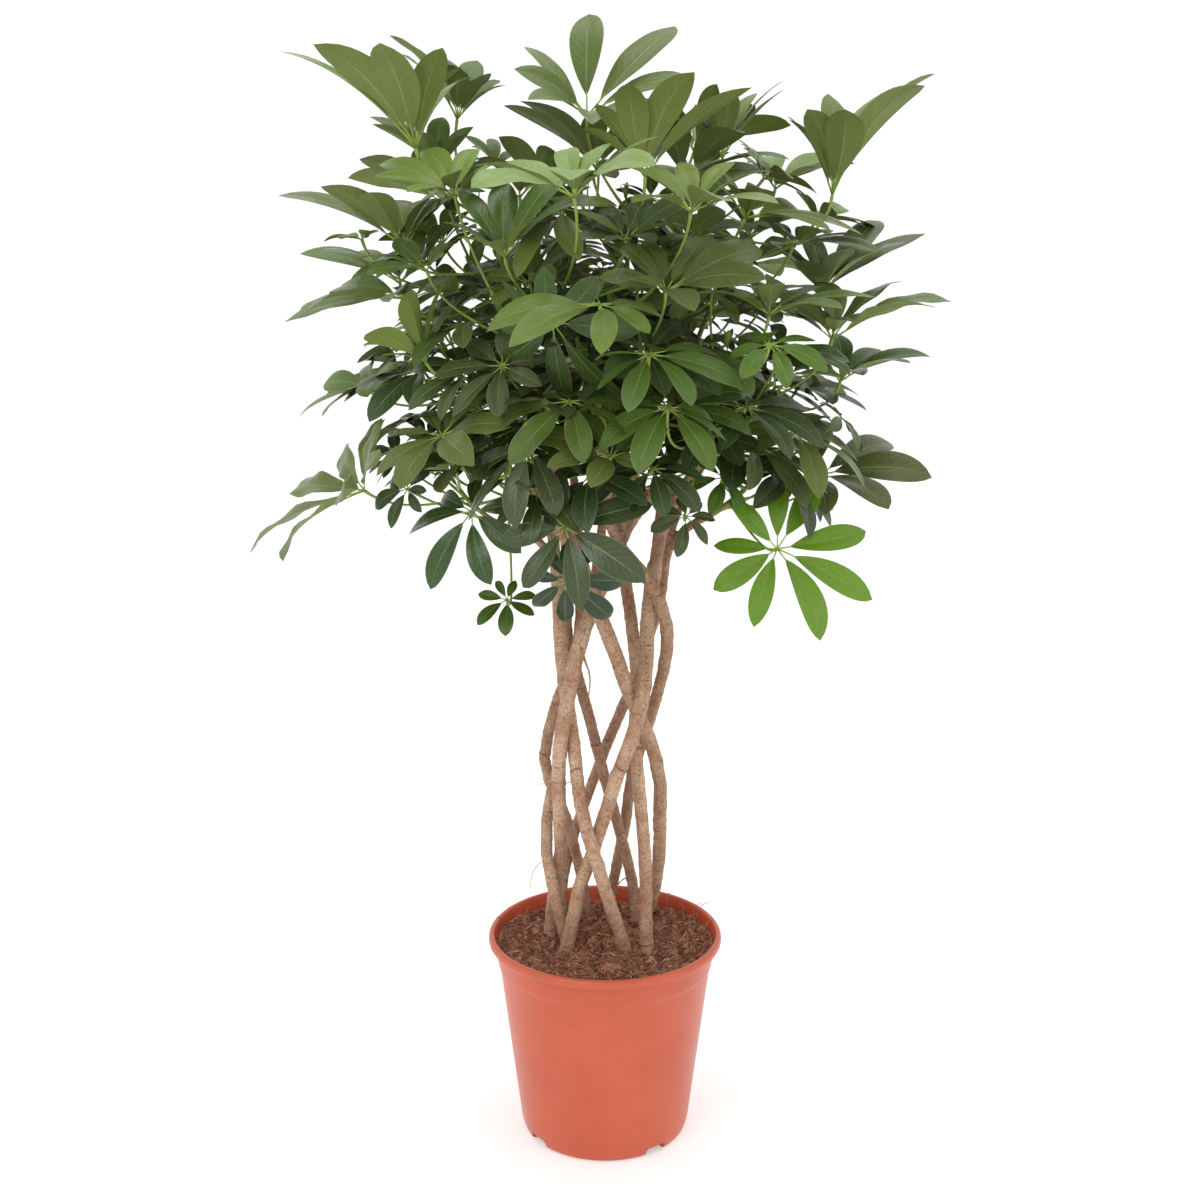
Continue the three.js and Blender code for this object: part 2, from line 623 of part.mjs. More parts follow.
// The outline of an umbrella's blade, point by point round its hub, and the stalk's three guide points.
function leafShape(way, root) {
  const { hub, face, size, cup } = way;
  const count = way.leaflets ?? (size < 96 ? 6 : 7);
  const stalk = hub.clone().sub(root);
  const bend = hub.clone().addScaledVector(face, -0.4 * stalk.length());
  const onward = stalk.clone().add(new THREE.Vector3(1, 0, -0.3 * size));
  const ahead = way.lead ? way.lead.clone().sub(hub) : onward;
  ahead.addScaledVector(face, -ahead.dot(face)).normalize();
  const side = face.clone().cross(ahead);
  const outline = [];
  const put = (turn, distance, lift) => {
    const reach = distance * Math.cos(rad(cup));
    const point = hub.clone().addScaledVector(ahead, reach * Math.cos(turn));
    point.addScaledVector(side, reach * Math.sin(turn));
    outline.push(point.addScaledVector(face, distance * Math.sin(rad(cup)) + lift));
  };
  for (let i = 0; i < count; i++) {
    const turn = (2 * Math.PI * (i + way.turn)) / count;
    const long = size * (0.8 + 0.2 * Math.cos(turn));
    const wide = Math.min(Math.atan(LEAF.halfWidth / LEAF.wing), (0.8 * Math.PI) / count);
    put(turn - Math.PI / count, LEAF.crotch * size, 0);
    put(turn - wide, LEAF.wing * long, LEAF.arch * size);
    put(turn, long, 0);
    put(turn + wide, LEAF.wing * long, LEAF.arch * size);
  }
  return { outline, stalk: [root, bend, hub], face, ahead, side, cup };
}

// One leaf as a closed solid: the blade's two faces, its edge, and a three-sided stalk grown from it.
function leafSolid({ outline, stalk, face, ahead, side, cup }) {
  const [root, bend, hub] = stalk;
  const n = outline.length;
  const thick = LEAF.blade / Math.cos(rad(cup));
  const under = outline.map((p) => p.clone().addScaledVector(face, -thick));
  const vertices = [...outline, ...under, hub.clone()];
  const triangles = [];
  for (let i = 0; i < n; i++) {
    const j = (i + 1) % n;
    triangles.push(2 * n, i, j, i, n + i, n + j, i, n + j, j);
  }
  const down = face.clone().negate();
  const ring = (middle, towards, size) => {
    const first = vertices.length;
    const tip = new THREE.Quaternion().setFromUnitVectors(down, towards);
    for (let k = 0; k < 3; k++) {
      const arm = ahead.clone().applyAxisAngle(face, (2 * Math.PI * k) / 3);
      vertices.push(middle.clone().addScaledVector(arm.applyQuaternion(tip), size));
    }
    return first;
  };
  const collar = 1.3 * LEAF.stalk;
  const drop = thick + 0.3 + collar * Math.max(0, -Math.tan(rad(cup)));
  const top = ring(hub.clone().addScaledVector(face, -drop), down, collar);
  const middle = ring(bezier(root, bend, hub, 0.5), root.clone().sub(hub).normalize(), LEAF.stalk);
  const foot = ring(root, root.clone().sub(bend).normalize(), LEAF.stalk);
  const nearest = (p) => {
    const turn = Math.atan2(p.clone().sub(hub).dot(side), p.clone().sub(hub).dot(ahead));
    return (Math.round((3 * turn) / (2 * Math.PI)) + 3) % 3;
  };
  for (let i = 0; i < n; i++) {
    const j = (i + 1) % n;
    const [a, b] = [nearest(outline[i]), nearest(outline[j])];
    triangles.push(n + i, top + a, n + j);
    if (a !== b) triangles.push(top + a, top + b, n + j);
  }
  for (const [from, to] of [[top, middle], [middle, foot]])
    for (let k = 0; k < 3; k++) {
      const l = (k + 1) % 3;
      triangles.push(from + k, to + k, to + l, from + k, to + l, from + l);
    }
  triangles.push(foot, foot + 2, foot + 1);
  return solidOf(vertices, triangles);
}

// ---- growing the crown: each leaf takes the first of its ways that is clear of all the rest ----

const grown = [];
const others = [
  ...wood.map((parts) => ({ solid: wasm.Manifold.union(parts), shoot: -1 })),
  ...SHOOTS.map(({ solid }, shoot) => ({ solid, shoot })),
];
for (const other of others) other.box = other.solid.boundingBox();

function isClear(solid, shoot) {
  const box = solid.boundingBox();
  const near = (other) => {
    for (let k = 0; k < 3; k++)
      if (box.min[k] > other.box.max[k] + LEAF.gap || box.max[k] < other.box.min[k] - LEAF.gap) return false;
    return solid.minGap(other.solid, 2 * LEAF.gap) < LEAF.gap;
  };
  return !others.some((other) => other.shoot !== shoot && near(other)) && !grown.some(near);
}

// Whether a stalk would have to come up through its own leaf.
function crossesItself({ hub, face, size, cup }, root) {
  const bend = hub.clone().addScaledVector(face, -0.4 * hub.distanceTo(root));
  const middle = bezier(root, bend, hub, 0.5);
  return [0.15, 0.4, 0.65, 0.9, 1.15, 1.4, 1.65, 1.9].some((t) => {
    const p = t < 1 ? hub.clone().lerp(middle, t) : middle.clone().lerp(root, t - 1);
    const up = p.sub(hub).dot(face);
    const out = Math.sqrt(Math.max(0, p.lengthSq() - up * up));
    return out < 1.05 * size && up > out * Math.tan(rad(cup)) - 2.5;
  });
}

function grow(perch, ways) {
  for (const way of ways) {
    if (crossesItself(way, perch.at)) continue;
    const solid = leafSolid(leafShape(way, perch.at));
    if (solid.status() !== "NoError" || !isClear(solid, perch.shoot)) continue;
    grown.push({ solid, box: solid.boundingBox(), perch });
    hubs.push(way.hub);
    perch.taken = true;
    return true;
  }
  return false;
}

for (const leaf of SHOWN) {
  const ways = waysShown(leaf);
  perchesFor(ways[0].hub).some((perch) => grow(perch, ways));
}
const rest = perches.filter((perch) => !perch.taken);
rest.sort((a, b) => b.order - a.order || a.shoot - b.shoot);
for (const perch of rest) {
  if (grown.length >= CROWN.most) break;
  grow(perch, waysGrown(perch, 1 + 5 * perch.shoot + perch.order));
}

// ---- the assembly ----

const group = new THREE.Group();

function add(name, solid, colour, roughness) {
  const material = new THREE.MeshStandardMaterial({ color: colour, roughness, metalness: 0 });
  const mesh = new THREE.Mesh(geometryOf(solid), material);
  mesh.name = name;
  group.add(mesh);
}

// The soil fills the pot, with a blind hole for each stem's foot.
function soilSolid() {
  const { rimRadius: rim, wall, footRadius: foot } = POT;
  const inner = rim - 9.6 - wall - SOIL.gap;
  let soil = turned([
    [0, 3 + SOIL.gap],
    [POT.hub - 2.4, 3 + SOIL.gap],
    [POT.hub + 1.6, 8 + SOIL.gap],
    [foot + 1.6 - wall, 8 + SOIL.gap],
    [foot + 5.6 - wall, 14],
    [inner, POT.height - 33],
    [inner + 2.4, SOIL.edge],
    [inner - 14, SOIL.mound],
    [0, SOIL.mound],
  ]);
  STEMS.forEach((_, s) => {
    soil = soil.subtract(trunkSolid(s, SOIL.hole));
  });
  return soil;
}

add("pot", potSolid(), 0xd9694a, 0.42);
add("soil", soilSolid(), 0x5a4034, 1);
STEMS.forEach((stem, s) => add(stem.name, others[s].solid, 0xa9825f, 0.9));
SHOOTS.forEach((shoot, s) => {
  const leaves = grown.filter((leaf) => leaf.perch.shoot === s).map((leaf) => leaf.solid);
  add(shoot.name, wasm.Manifold.union([shoot.solid, ...leaves]), 0x3d6b34, 0.5);
});

export default group;
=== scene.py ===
import bpy
import bmesh
import math
import random
import numpy as np
from mathutils import Matrix, Vector, noise
from mathutils.bvhtree import BVHTree


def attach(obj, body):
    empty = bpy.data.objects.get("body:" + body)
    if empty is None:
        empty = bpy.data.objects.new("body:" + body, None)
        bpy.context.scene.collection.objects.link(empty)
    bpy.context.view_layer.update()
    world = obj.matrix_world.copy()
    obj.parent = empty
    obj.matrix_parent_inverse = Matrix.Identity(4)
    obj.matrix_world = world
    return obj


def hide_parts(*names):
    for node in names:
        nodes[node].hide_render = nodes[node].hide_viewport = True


# A potted umbrella plant. Ten bare stems are plaited into an open trunk, and each ends in
# leafy shoots that make up a round crown. The pot is thin orange plastic, filled with coir.

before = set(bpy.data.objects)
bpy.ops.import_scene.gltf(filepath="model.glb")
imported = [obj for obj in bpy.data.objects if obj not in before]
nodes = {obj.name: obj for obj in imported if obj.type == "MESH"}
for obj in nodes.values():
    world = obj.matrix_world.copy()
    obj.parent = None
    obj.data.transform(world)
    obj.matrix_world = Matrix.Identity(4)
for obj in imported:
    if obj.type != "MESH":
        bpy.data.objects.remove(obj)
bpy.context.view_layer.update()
scene = bpy.context.scene
print("frame loaded:", len(nodes), "nodes")


# small helpers

def paint(red, green, blue):  # a colour as a paint chart gives it, 0 to 255
    def straight(c):
        c /= 255
        return c / 12.92 if c <= 0.04045 else ((c + 0.055) / 1.055) ** 2.4
    return (straight(red), straight(green), straight(blue), 1.0)


def laidOut(name, mesh):
    holder = bpy.data.objects.new(name, mesh)
    scene.collection.objects.link(holder)
    return holder


def addPiece(name, mesh, materials, replaced=()):
    piece = laidOut(name, mesh)
    for material in materials:
        mesh.materials.append(material)
    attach(piece, "root")
    if replaced:
        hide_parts(*replaced)
    return piece


def asShown(holder):  # the mesh of an object with its modifiers applied
    return bpy.data.meshes.new_from_object(holder.evaluated_get(bpy.context.evaluated_depsgraph_get()))


def meshFrom(work, name):
    mesh = bpy.data.meshes.new(name)
    work.to_mesh(mesh)
    work.free()
    return mesh


def setMark(mesh, name, values):
    mesh.attributes.new(name, "FLOAT", "POINT").data.foreach_set("value", values)


def smoothStep(low, high, value):
    t = np.clip((value - low) / (high - low), 0, 1)
    return t * t * (3 - 2 * t)


class Weave:  # gathers the points and faces of many small forms into one mesh
    def __init__(self):
        self.points, self.faces, self.kinds = [], [], []
        self.marks = {}
        self.total = 0

    def add(self, points, faces, kind=0, **marks):
        points = np.asarray(points, float)
        self.points.append(points)
        for face in faces:
            self.faces.append([int(i) + self.total for i in face])
        kinds = kind if hasattr(kind, "__len__") else [kind] * len(faces)
        self.kinds.extend(int(k) for k in kinds)
        for name, values in marks.items():
            values = np.broadcast_to(np.asarray(values, float), (len(points),))
            self.marks.setdefault(name, []).append((self.total, values))
        self.total += len(points)

    def mesh(self, name, creases=False):
        mesh = bpy.data.meshes.new(name)
        mesh.from_pydata(np.concatenate(self.points).tolist(), [], self.faces)
        mesh.polygons.foreach_set("material_index", self.kinds)
        mesh.shade_smooth()
        for mark, parts in self.marks.items():
            values = np.zeros(self.total)
            for start, part in parts:
                values[start:start + len(part)] = part
            setMark(mesh, mark, values)
        if creases:  # the top and the underside of a leaf meet in a crisp margin
            work = bmesh.new()
            work.from_mesh(mesh)
            for edge in work.edges:
                sides = edge.link_faces
                if len(sides) == 2 and sides[0].material_index != sides[1].material_index:
                    edge.smooth = False
            work.to_mesh(mesh)
            work.free()
        mesh.validate()
        return mesh


def ringsAlong(path, radii, sides):
    # Points and faces of a round tube along a path, with both ends closed.
    path = np.asarray(path, float)
    radii = np.broadcast_to(np.asarray(radii, float), (len(path),))
    heading = np.gradient(path, axis=0)
    heading /= np.linalg.norm(heading, axis=1)[:, None]
    across = np.cross(heading[0], [0.31, 0.52, 0.79])  # a direction that no tube here starts in
    points = []
    turns = np.arange(sides) * 2 * math.pi / sides
    for place, way, radius in zip(path, heading, radii):
        across = across - way * across.dot(way)
        across /= np.linalg.norm(across)
        side = np.cross(way, across)
        points.append(place + radius * (np.outer(np.cos(turns), across) + np.outer(np.sin(turns), side)))
    faces = []
    for i in range(len(path) - 1):
        for k in range(sides):
            a, b = i * sides + k, i * sides + (k + 1) % sides
            faces.append((a, b, b + sides, a + sides))
    last = (len(path) - 1) * sides
    faces.append(tuple(reversed(range(sides))))
    faces.append(tuple(range(last, last + sides)))
    return np.concatenate(points), faces


def bentLine(a, b, c, d, steps):
    t = np.linspace(0, 1, steps)[:, None]
    a, b, c, d = (np.asarray(p, float) for p in (a, b, c, d))
    return (1 - t) ** 3 * a + 3 * t * (1 - t) ** 2 * b + 3 * t * t * (1 - t) * c + t ** 3 * d


# the camera, at the height and angle from which the plant was seen

cameraPlan = {
    "place": (-0.0052, -1.523, 0.904),
    "downwards": 12.61,  # degrees
    "lens": 47.5, "sensor": 36,  # millimetres
    "nearest": 0.05,
    "frame": 1200,  # pixels of the photograph
}


def addCamera(plan):
    data = bpy.data.cameras.new("plantCamera")
    data.sensor_width = plan["sensor"]
    data.lens = plan["lens"]
    data.clip_start = plan["nearest"]
    camera = bpy.data.objects.new("plantCamera", data)
    camera.location = plan["place"]
    camera.rotation_euler = (math.radians(90 - plan["downwards"]), 0, 0)
    scene.collection.objects.link(camera)
    scene.camera = camera


def lensOf(plan):  # half the frame and the focal length in pixels, and the dip's sine and cosine
    dip = math.radians(plan["downwards"])
    return plan["frame"] / 2, plan["lens"] / plan["sensor"] * plan["frame"], math.sin(dip), math.cos(dip)


def sightLine(px, py, plan=cameraPlan):  # where a pixel of the photograph looks, from the camera
    half, focal, dipSine, dipCosine = lensOf(plan)
    x, up = (px - half) / focal, (half - py) / focal
    way = Vector((x, dipCosine + up * dipSine, up * dipCosine - dipSine))
    return Vector(plan["place"]), way.normalized()


def pixelOf(point, plan=cameraPlan):  # where a point shows in the photograph
    half, focal, dipSine, dipCosine = lensOf(plan)
    away = Vector(point) - Vector(plan["place"])
    depth = away.y * dipCosine - away.z * dipSine
    up = away.y * dipSine + away.z * dipCosine
    return half + focal * away.x / depth, half - focal * up / depth


addCamera(cameraPlan)
print("camera placed")


# soft studio light on a pale floor

studioPlan = {
    "paper": (paint(214, 214, 213), paint(217, 217, 217)), "glow": 0.38,
    "floorReach": 9.0, "floorDrop": 0.0006,
    "skyStrength": 1.08,
    "lamps": (  # name, place, aim, width, power
        ("keyLamp", (-1.4, -2.2, 2.2), (0, 0, 0.65), 1.2, 16),
        ("fillLamp", (2.0, -1.4, 1.4), (0, 0, 0.5), 1.2, 4),
        ("topLamp", (0.1, 0.1, 2.7), (0, 0, 0.8), 1.4, 16),
    ),
}


def addStudio(plan):
    world = bpy.data.worlds.new("studioWorld")
    world.use_nodes = True
    world.node_tree.nodes["Background"].inputs["Color"].default_value = (1, 1, 1, 1)
    world.node_tree.nodes["Background"].inputs["Strength"].default_value = plan["skyStrength"]
    scene.world = world
    for name, place, aim, width, power in plan["lamps"]:
        lamp = bpy.data.lights.new(name, "AREA")
        lamp.size = width
        lamp.energy = power
        holder = bpy.data.objects.new(name, lamp)
        holder.location = place
        holder.rotation_euler = (Vector(aim) - Vector(place)).to_track_quat("-Z", "Y").to_euler()
        scene.collection.objects.link(holder)
    scene.view_settings.view_transform = "Standard"


addStudio(studioPlan)
print("studio lit")


# shader helpers

def newMaterial(name, **values):
    material = bpy.data.materials.new(name)
    material.use_nodes = True
    tree = material.node_tree
    shader = tree.nodes["Principled BSDF"]
    for socket, value in values.items():
        shader.inputs[socket.replace("_", " ")].default_value = value
    return material, tree, shader


def plug(tree, socket, value):  # joins another socket to this one, or sets its value
    if isinstance(value, bpy.types.NodeSocket):
        tree.links.new(value, socket)
    else:
        socket.default_value = value


def node(tree, kind, inputs=(), **settings):
    made = tree.nodes.new(kind)
    for name, value in settings.items():
        setattr(made, name, value)
    for name, value in dict(inputs).items():
        plug(tree, made.inputs[name], value)
    return made


def maths(tree, operation, a, b=0.0):
    made = node(tree, "ShaderNodeMath", operation=operation)
    plug(tree, made.inputs[0], a)
    plug(tree, made.inputs[1], b)
    return made.outputs[0]


def fromHalf(tree, value):  # how far a value is from one half
    return maths(tree, "ABSOLUTE", maths(tree, "SUBTRACT", value, 0.5))


def spread(tree, value, low, high, toLow=0.0, toHigh=1.0):
    made = node(tree, "ShaderNodeMapRange", {"Value": value, "From Min": low, "From Max": high,
                                             "To Min": toLow, "To Max": toHigh})
    made.interpolation_type = "SMOOTHSTEP"
    return made.outputs[0]


def blendColour(tree, amount, first, second):
    made = node(tree, "ShaderNodeMix", data_type="RGBA")
    for i, value in ((0, amount), (6, first), (7, second)):  # the node's sockets for colours are 6 and 7
        plug(tree, made.inputs[i], value)
    return made.outputs[2]


def layered(tree, colour, *layers):  # each layer is a mask, how strongly it shows, and its colour
    for mask, strength, tone in layers:
        colour = blendColour(tree, maths(tree, "MULTIPLY", mask, strength), colour, tone)
    return colour


def wear(tree, shader, colour, roughness, normal):
    for socket, value in (("Base Color", colour), ("Roughness", roughness), ("Normal", normal)):
        tree.links.new(value, shader.inputs[socket])


def mark(tree, name):
    return node(tree, "ShaderNodeAttribute", attribute_name=name).outputs["Fac"]


def spot(tree):  # the place on the object, in metres
    return node(tree, "ShaderNodeTexCoord").outputs["Object"]


def bump(tree, height, strength, distance, below=None):
    made = node(tree, "ShaderNodeBump", {"Height": height, "Strength": strength, "Distance": distance})
    if below is not None:
        tree.links.new(below, made.inputs["Normal"])
    return made.outputs["Normal"]


def newGroup(name, takes, gives):
    group = bpy.data.node_groups.new(name, "ShaderNodeTree")
    for socket, value in takes.items():
        kind = "NodeSocketVector" if value is None else "NodeSocketFloat"
        made = group.interface.new_socket(socket, in_out="INPUT", socket_type=kind)
        if value is not None:
            made.default_value = value
    for socket in gives:
        group.interface.new_socket(socket, in_out="OUTPUT", socket_type="NodeSocketFloat")
    return group, group.nodes.new("NodeGroupInput").outputs, group.nodes.new("NodeGroupOutput").inputs


def useGroup(tree, group, **inputs):
    made = tree.nodes.new("ShaderNodeGroup")
    made.node_tree = group
    for name, value in inputs.items():
        plug(tree, made.inputs[name], value)
    return made.outputs


def cloudMask(tree, size, low, high):
    return useGroup(tree, mottle, Place=spot(tree), Size=size, Low=low, High=high)["Mask"]


def dotMask(tree, size, fill):
    return useGroup(tree, speckle, Place=spot(tree), Size=size, Fill=fill)["Mask"]


def ringMarks(tree, spacing, width, wobble):
    return useGroup(tree, ringScars, Place=spot(tree), Along=mark(tree, "along"), Spacing=spacing,
                    Width=width, Wobble=wobble)


def makeMottle():  # soft clouds of tone, from large to small
    takes = {"Place": None, "Size": 0.05, "Low": 0.35, "High": 0.65}
    group, takes, gives = newGroup("mottle", takes, ["Mask"])
    scale = maths(group, "DIVIDE", 1.0, takes["Size"])
    cloud = node(group, "ShaderNodeTexNoise", {"Vector": takes["Place"], "Scale": scale,
                                               "Detail": 4.0, "Roughness": 0.6})
    group.links.new(spread(group, cloud.outputs["Fac"], takes["Low"], takes["High"]), gives["Mask"])
    return group


def makeSpeckle():  # small separate dots, such as pores or grains
    group, takes, gives = newGroup("speckle", {"Place": None, "Size": 0.003, "Fill": 0.3}, ["Mask"])
    scale = maths(group, "DIVIDE", 1.0, takes["Size"])
    wander = node(group, "ShaderNodeTexNoise", {"Vector": takes["Place"], "Scale": scale, "Detail": 2.0})
    moved = node(group, "ShaderNodeMixRGB", {"Fac": 0.004, "Color1": takes["Place"],
                                             "Color2": wander.outputs["Color"]})
    cells = node(group, "ShaderNodeTexVoronoi", {"Vector": moved.outputs[0], "Scale": scale})
    edge = maths(group, "MULTIPLY", takes["Fill"], 1.6)
    near = spread(group, cells.outputs["Distance"], 0.0, edge, 1.0, 0.0)
    group.links.new(near, gives["Mask"])
    return group


def makeScars():  # rings left round a stem, at uneven spacing, each broken and a little tilted
    group, takes, gives = newGroup("ringScars", {"Place": None, "Along": 0.0, "Spacing": 0.02,
                                                 "Width": 0.06, "Wobble": 0.3}, ["Mask", "Height"])
    stations = maths(group, "DIVIDE", takes["Along"], takes["Spacing"])
    slow = node(group, "ShaderNodeTexNoise", {"Vector": takes["Place"], "Scale": 28.0, "Detail": 1.0})
    swing = maths(group, "MULTIPLY", maths(group, "SUBTRACT", slow.outputs["Fac"], 0.5), takes["Wobble"])
    uneven = maths(group, "SINE", maths(group, "MULTIPLY", stations, 1.7))
    bent = maths(group, "ADD", stations, maths(group, "ADD", swing, maths(group, "MULTIPLY", uneven, 0.3)))
    line = spread(group, fromHalf(group, maths(group, "FRACT", bent)), 0.0, takes["Width"], 1.0, 0.0)
    patch = node(group, "ShaderNodeTexNoise", {"Vector": takes["Place"], "Scale": 90.0, "Detail": 2.0})
    broken = spread(group, patch.outputs["Fac"], 0.42, 0.58)
    drawn = maths(group, "MULTIPLY", line, broken)
    group.links.new(drawn, gives["Mask"])
    group.links.new(maths(group, "MULTIPLY", drawn, -1.0), gives["Height"])
    return group


def makeVeins():  # a leaflet's midrib, and the pairs of side veins that run forward from it
    group, takes, gives = newGroup("leafletVeins", {"Along": 0.0, "Across": 0.0, "Pairs": 9.0,
                                                    "Slant": 2.2}, ["Midrib", "Side", "Height"])
    out = maths(group, "MULTIPLY", fromHalf(group, takes["Across"]), 2.0)
    taper = spread(group, takes["Along"], 0.0, 1.0, 0.11, 0.035)
    midrib = spread(group, out, 0.0, taper, 1.0, 0.0)
    forward = maths(group, "MULTIPLY", maths(group, "POWER", out, 0.8), takes["Slant"])
    steps = maths(group, "SUBTRACT", maths(group, "MULTIPLY", takes["Along"], takes["Pairs"]), forward)
    side = spread(group, fromHalf(group, maths(group, "FRACT", steps)), 0.0, 0.13, 1.0, 0.0)
    faded = maths(group, "MULTIPLY", side, spread(group, out, 0.5, 0.97, 1.0, 0.0))
    ridge = maths(group, "MAXIMUM", midrib, maths(group, "MULTIPLY", faded, 0.45))
    for name, value in (("Midrib", midrib), ("Side", faded), ("Height", ridge)):
        group.links.new(value, gives[name])
    return group


mottle, speckle, ringScars, leafletVeins = makeMottle(), makeSpeckle(), makeScars(), makeVeins()
print("shader groups made")


# finishes

leafPlan = {
    # painted light and shade: the first two greens are the leaves' green in painted shade, inside and low in
    # the crown, and grown is their green in painted light, high up and outside it
    "shadedGreen": paint(42, 60, 28), "shadedDullGreen": paint(64, 82, 38), "cool": paint(46, 62, 50),
    "grown": paint(108, 132, 56), "fresh": paint(104, 146, 26),
    "dull": paint(96, 98, 44), "dark": paint(34, 54, 28), "fleck": paint(30, 44, 22),
    "vein": paint(136, 158, 84), "margin": paint(140, 150, 92),
    "under": paint(116, 130, 66), "underFresh": paint(136, 164, 66), "underDull": paint(96, 108, 54),
    "underGrey": paint(104, 116, 70), "underVein": paint(88, 102, 52), "underMidrib": paint(150, 162, 92),
    "stalk": paint(134, 160, 68), "stalkFresh": paint(150, 178, 74), "stalkWorn": paint(146, 152, 78),
    "stalkDot": paint(84, 84, 46),
    "roughness": 0.34, "cushion": 0.0005,  # how far the blade swells between its veins, in metres
}

woodPlan = {  # a pair of tones is mixed in soft clouds
    "old": (paint(180, 136, 104), paint(220, 188, 156)), "young": (paint(126, 86, 60), paint(150, 108, 78)),
    # red is painted shade: the darker, redder bark of the stems at the back
    "red": paint(142, 96, 70), "grey": paint(200, 180, 158), "fibre": paint(140, 90, 62),
    "freckle": paint(104, 66, 46), "pore": paint(90, 54, 38), "faintRing": paint(108, 72, 50),
    "ring": paint(76, 46, 32),
    "greenShoot": (paint(110, 140, 54), paint(130, 160, 68)),
    "brownShoot": (paint(112, 104, 58), paint(140, 128, 78)),
    "shootDot": paint(150, 142, 98), "shootRing": paint(92, 70, 44),
    "root": (paint(128, 92, 62), paint(170, 138, 100)),
}


def leafVeins(tree):  # the veins, and how far across its leaflet a point lies, 0 to 1
    uv = node(tree, "ShaderNodeUVMap", uv_map="leafMap").outputs[0]
    parts = node(tree, "ShaderNodeSeparateXYZ", {"Vector": uv}).outputs
    return useGroup(tree, leafletVeins, Along=parts["X"], Across=parts["Y"]), parts["Y"]


def leafTopMaterial(plan):
    material, tree, shader = newMaterial("leafTop", Specular_IOR_Level=0.32)
    veins, across = leafVeins(tree)
    cloud, fine = cloudMask(tree, 0.03, 0.35, 0.68), cloudMask(tree, 0.004, 0.3, 0.7)
    variety, cool = mark(tree, "variety"), mark(tree, "cool")
    # painted shade and painted light: the shaded greens, blended towards the lit grown green by the leaf's
    # painted light
    shadedGreen = blendColour(tree, cloud, plan["shadedGreen"], plan["shadedDullGreen"])
    grown = blendColour(tree, mark(tree, "light"), shadedGreen, plan["grown"])
    cooled = blendColour(tree, cool, grown, plan["cool"])
    green = blendColour(tree, mark(tree, "fresh"), cooled, plan["fresh"])
    dull = blendColour(tree, spread(tree, variety, 0.5, 1.0, 0.0, 0.55), green, plan["dull"])
    varied = blendColour(tree, spread(tree, variety, 0.0, 0.45, 0.5, 0.0), dull, plan["dark"])
    margin = spread(tree, maths(tree, "MULTIPLY", fromHalf(tree, across), 2.0), 0.91, 0.99)
    colour = layered(tree, varied, (fine, 0.14, plan["fleck"]), (veins["Side"], 0.12, plan["vein"]),
                     (veins["Midrib"], 0.5, plan["vein"]), (margin, 0.34, plan["margin"]))
    worn = spread(tree, cloud, 0, 1, plan["roughness"] - 0.06, plan["roughness"] + 0.1)
    sheen = maths(tree, "SUBTRACT", worn, maths(tree, "MULTIPLY", cool, 0.12))
    swollen = bump(tree, veins["Height"], 0.55, -plan["cushion"])
    wear(tree, shader, colour, sheen, bump(tree, fine, 0.12, 0.0004, swollen))
    return material


def leafUnderMaterial(plan):
    material, tree, shader = newMaterial("leafUnder", Specular_IOR_Level=0.25)
    veins, _ = leafVeins(tree)
    cloud = cloudMask(tree, 0.02, 0.3, 0.7)
    base = blendColour(tree, mark(tree, "fresh"), plan["under"], plan["underFresh"])
    colour = layered(
        tree, base, (cloud, 0.22, plan["underDull"]), (mark(tree, "variety"), 0.35, plan["underGrey"]),
        (veins["Side"], 0.2, plan["underVein"]), (veins["Midrib"], 0.6, plan["underMidrib"]))
    wear(tree, shader, colour, spread(tree, cloud, 0, 1, 0.58, 0.7), bump(tree, veins["Height"], 0.6, 0.0006))
    return material


def stalkMaterial(plan):
    material, tree, shader = newMaterial("leafStalk", Specular_IOR_Level=0.4)
    cloud, pores = cloudMask(tree, 0.012, 0.3, 0.7), dotMask(tree, 0.0024, 0.22)
    base = blendColour(tree, mark(tree, "fresh"), plan["stalk"], plan["stalkFresh"])
    colour = layered(tree, base, (cloud, 0.4, plan["stalkWorn"]), (pores, 0.3, plan["stalkDot"]))
    wear(tree, shader, colour, spread(tree, cloud, 0, 1, 0.4, 0.55), bump(tree, pores, 0.3, 0.0003))
    return material


def barkMaterial(plan):
    material, tree, shader = newMaterial("stemBark", Specular_IOR_Level=0.3)
    scars, faint = ringMarks(tree, 0.047, 0.02, 0.35), ringMarks(tree, 0.0083, 0.09, 0.9)
    cloud, patch = cloudMask(tree, 0.03, 0.36, 0.64), cloudMask(tree, 0.007, 0.38, 0.66)
    fine, pores = cloudMask(tree, 0.0018, 0.3, 0.7), dotMask(tree, 0.0042, 0.26)
    grain = node(tree, "ShaderNodeMapping", {"Vector": spot(tree), "Scale": (420, 420, 60)})
    fibre = node(tree, "ShaderNodeTexNoise", {"Vector": grain.outputs[0], "Scale": 1.0, "Detail": 3.0})
    old, young = blendColour(tree, cloud, *plan["old"]), blendColour(tree, cloud, *plan["young"])
    colour = layered(
        tree, blendColour(tree, mark(tree, "age"), young, old),
        # painted shade: the stems at the back are darkened towards red
        (mark(tree, "paintedBackShade"), 0.6, plan["red"]), (patch, 0.55, plan["grey"]),
        (fibre.outputs["Fac"], 0.34, plan["fibre"]), (fine, 0.5, plan["freckle"]), (pores, 0.7, plan["pore"]),
        (faint["Mask"], 0.22, plan["faintRing"]), (scars["Mask"], 0.75, plan["ring"]))
    pored = bump(tree, pores, 0.35, 0.0006, bump(tree, fine, 0.4, 0.0005))
    scarred = bump(tree, scars["Height"], 0.6, 0.0009, pored)
    wear(tree, shader, colour, spread(tree, patch, 0, 1, 0.6, 0.8), scarred)
    return material


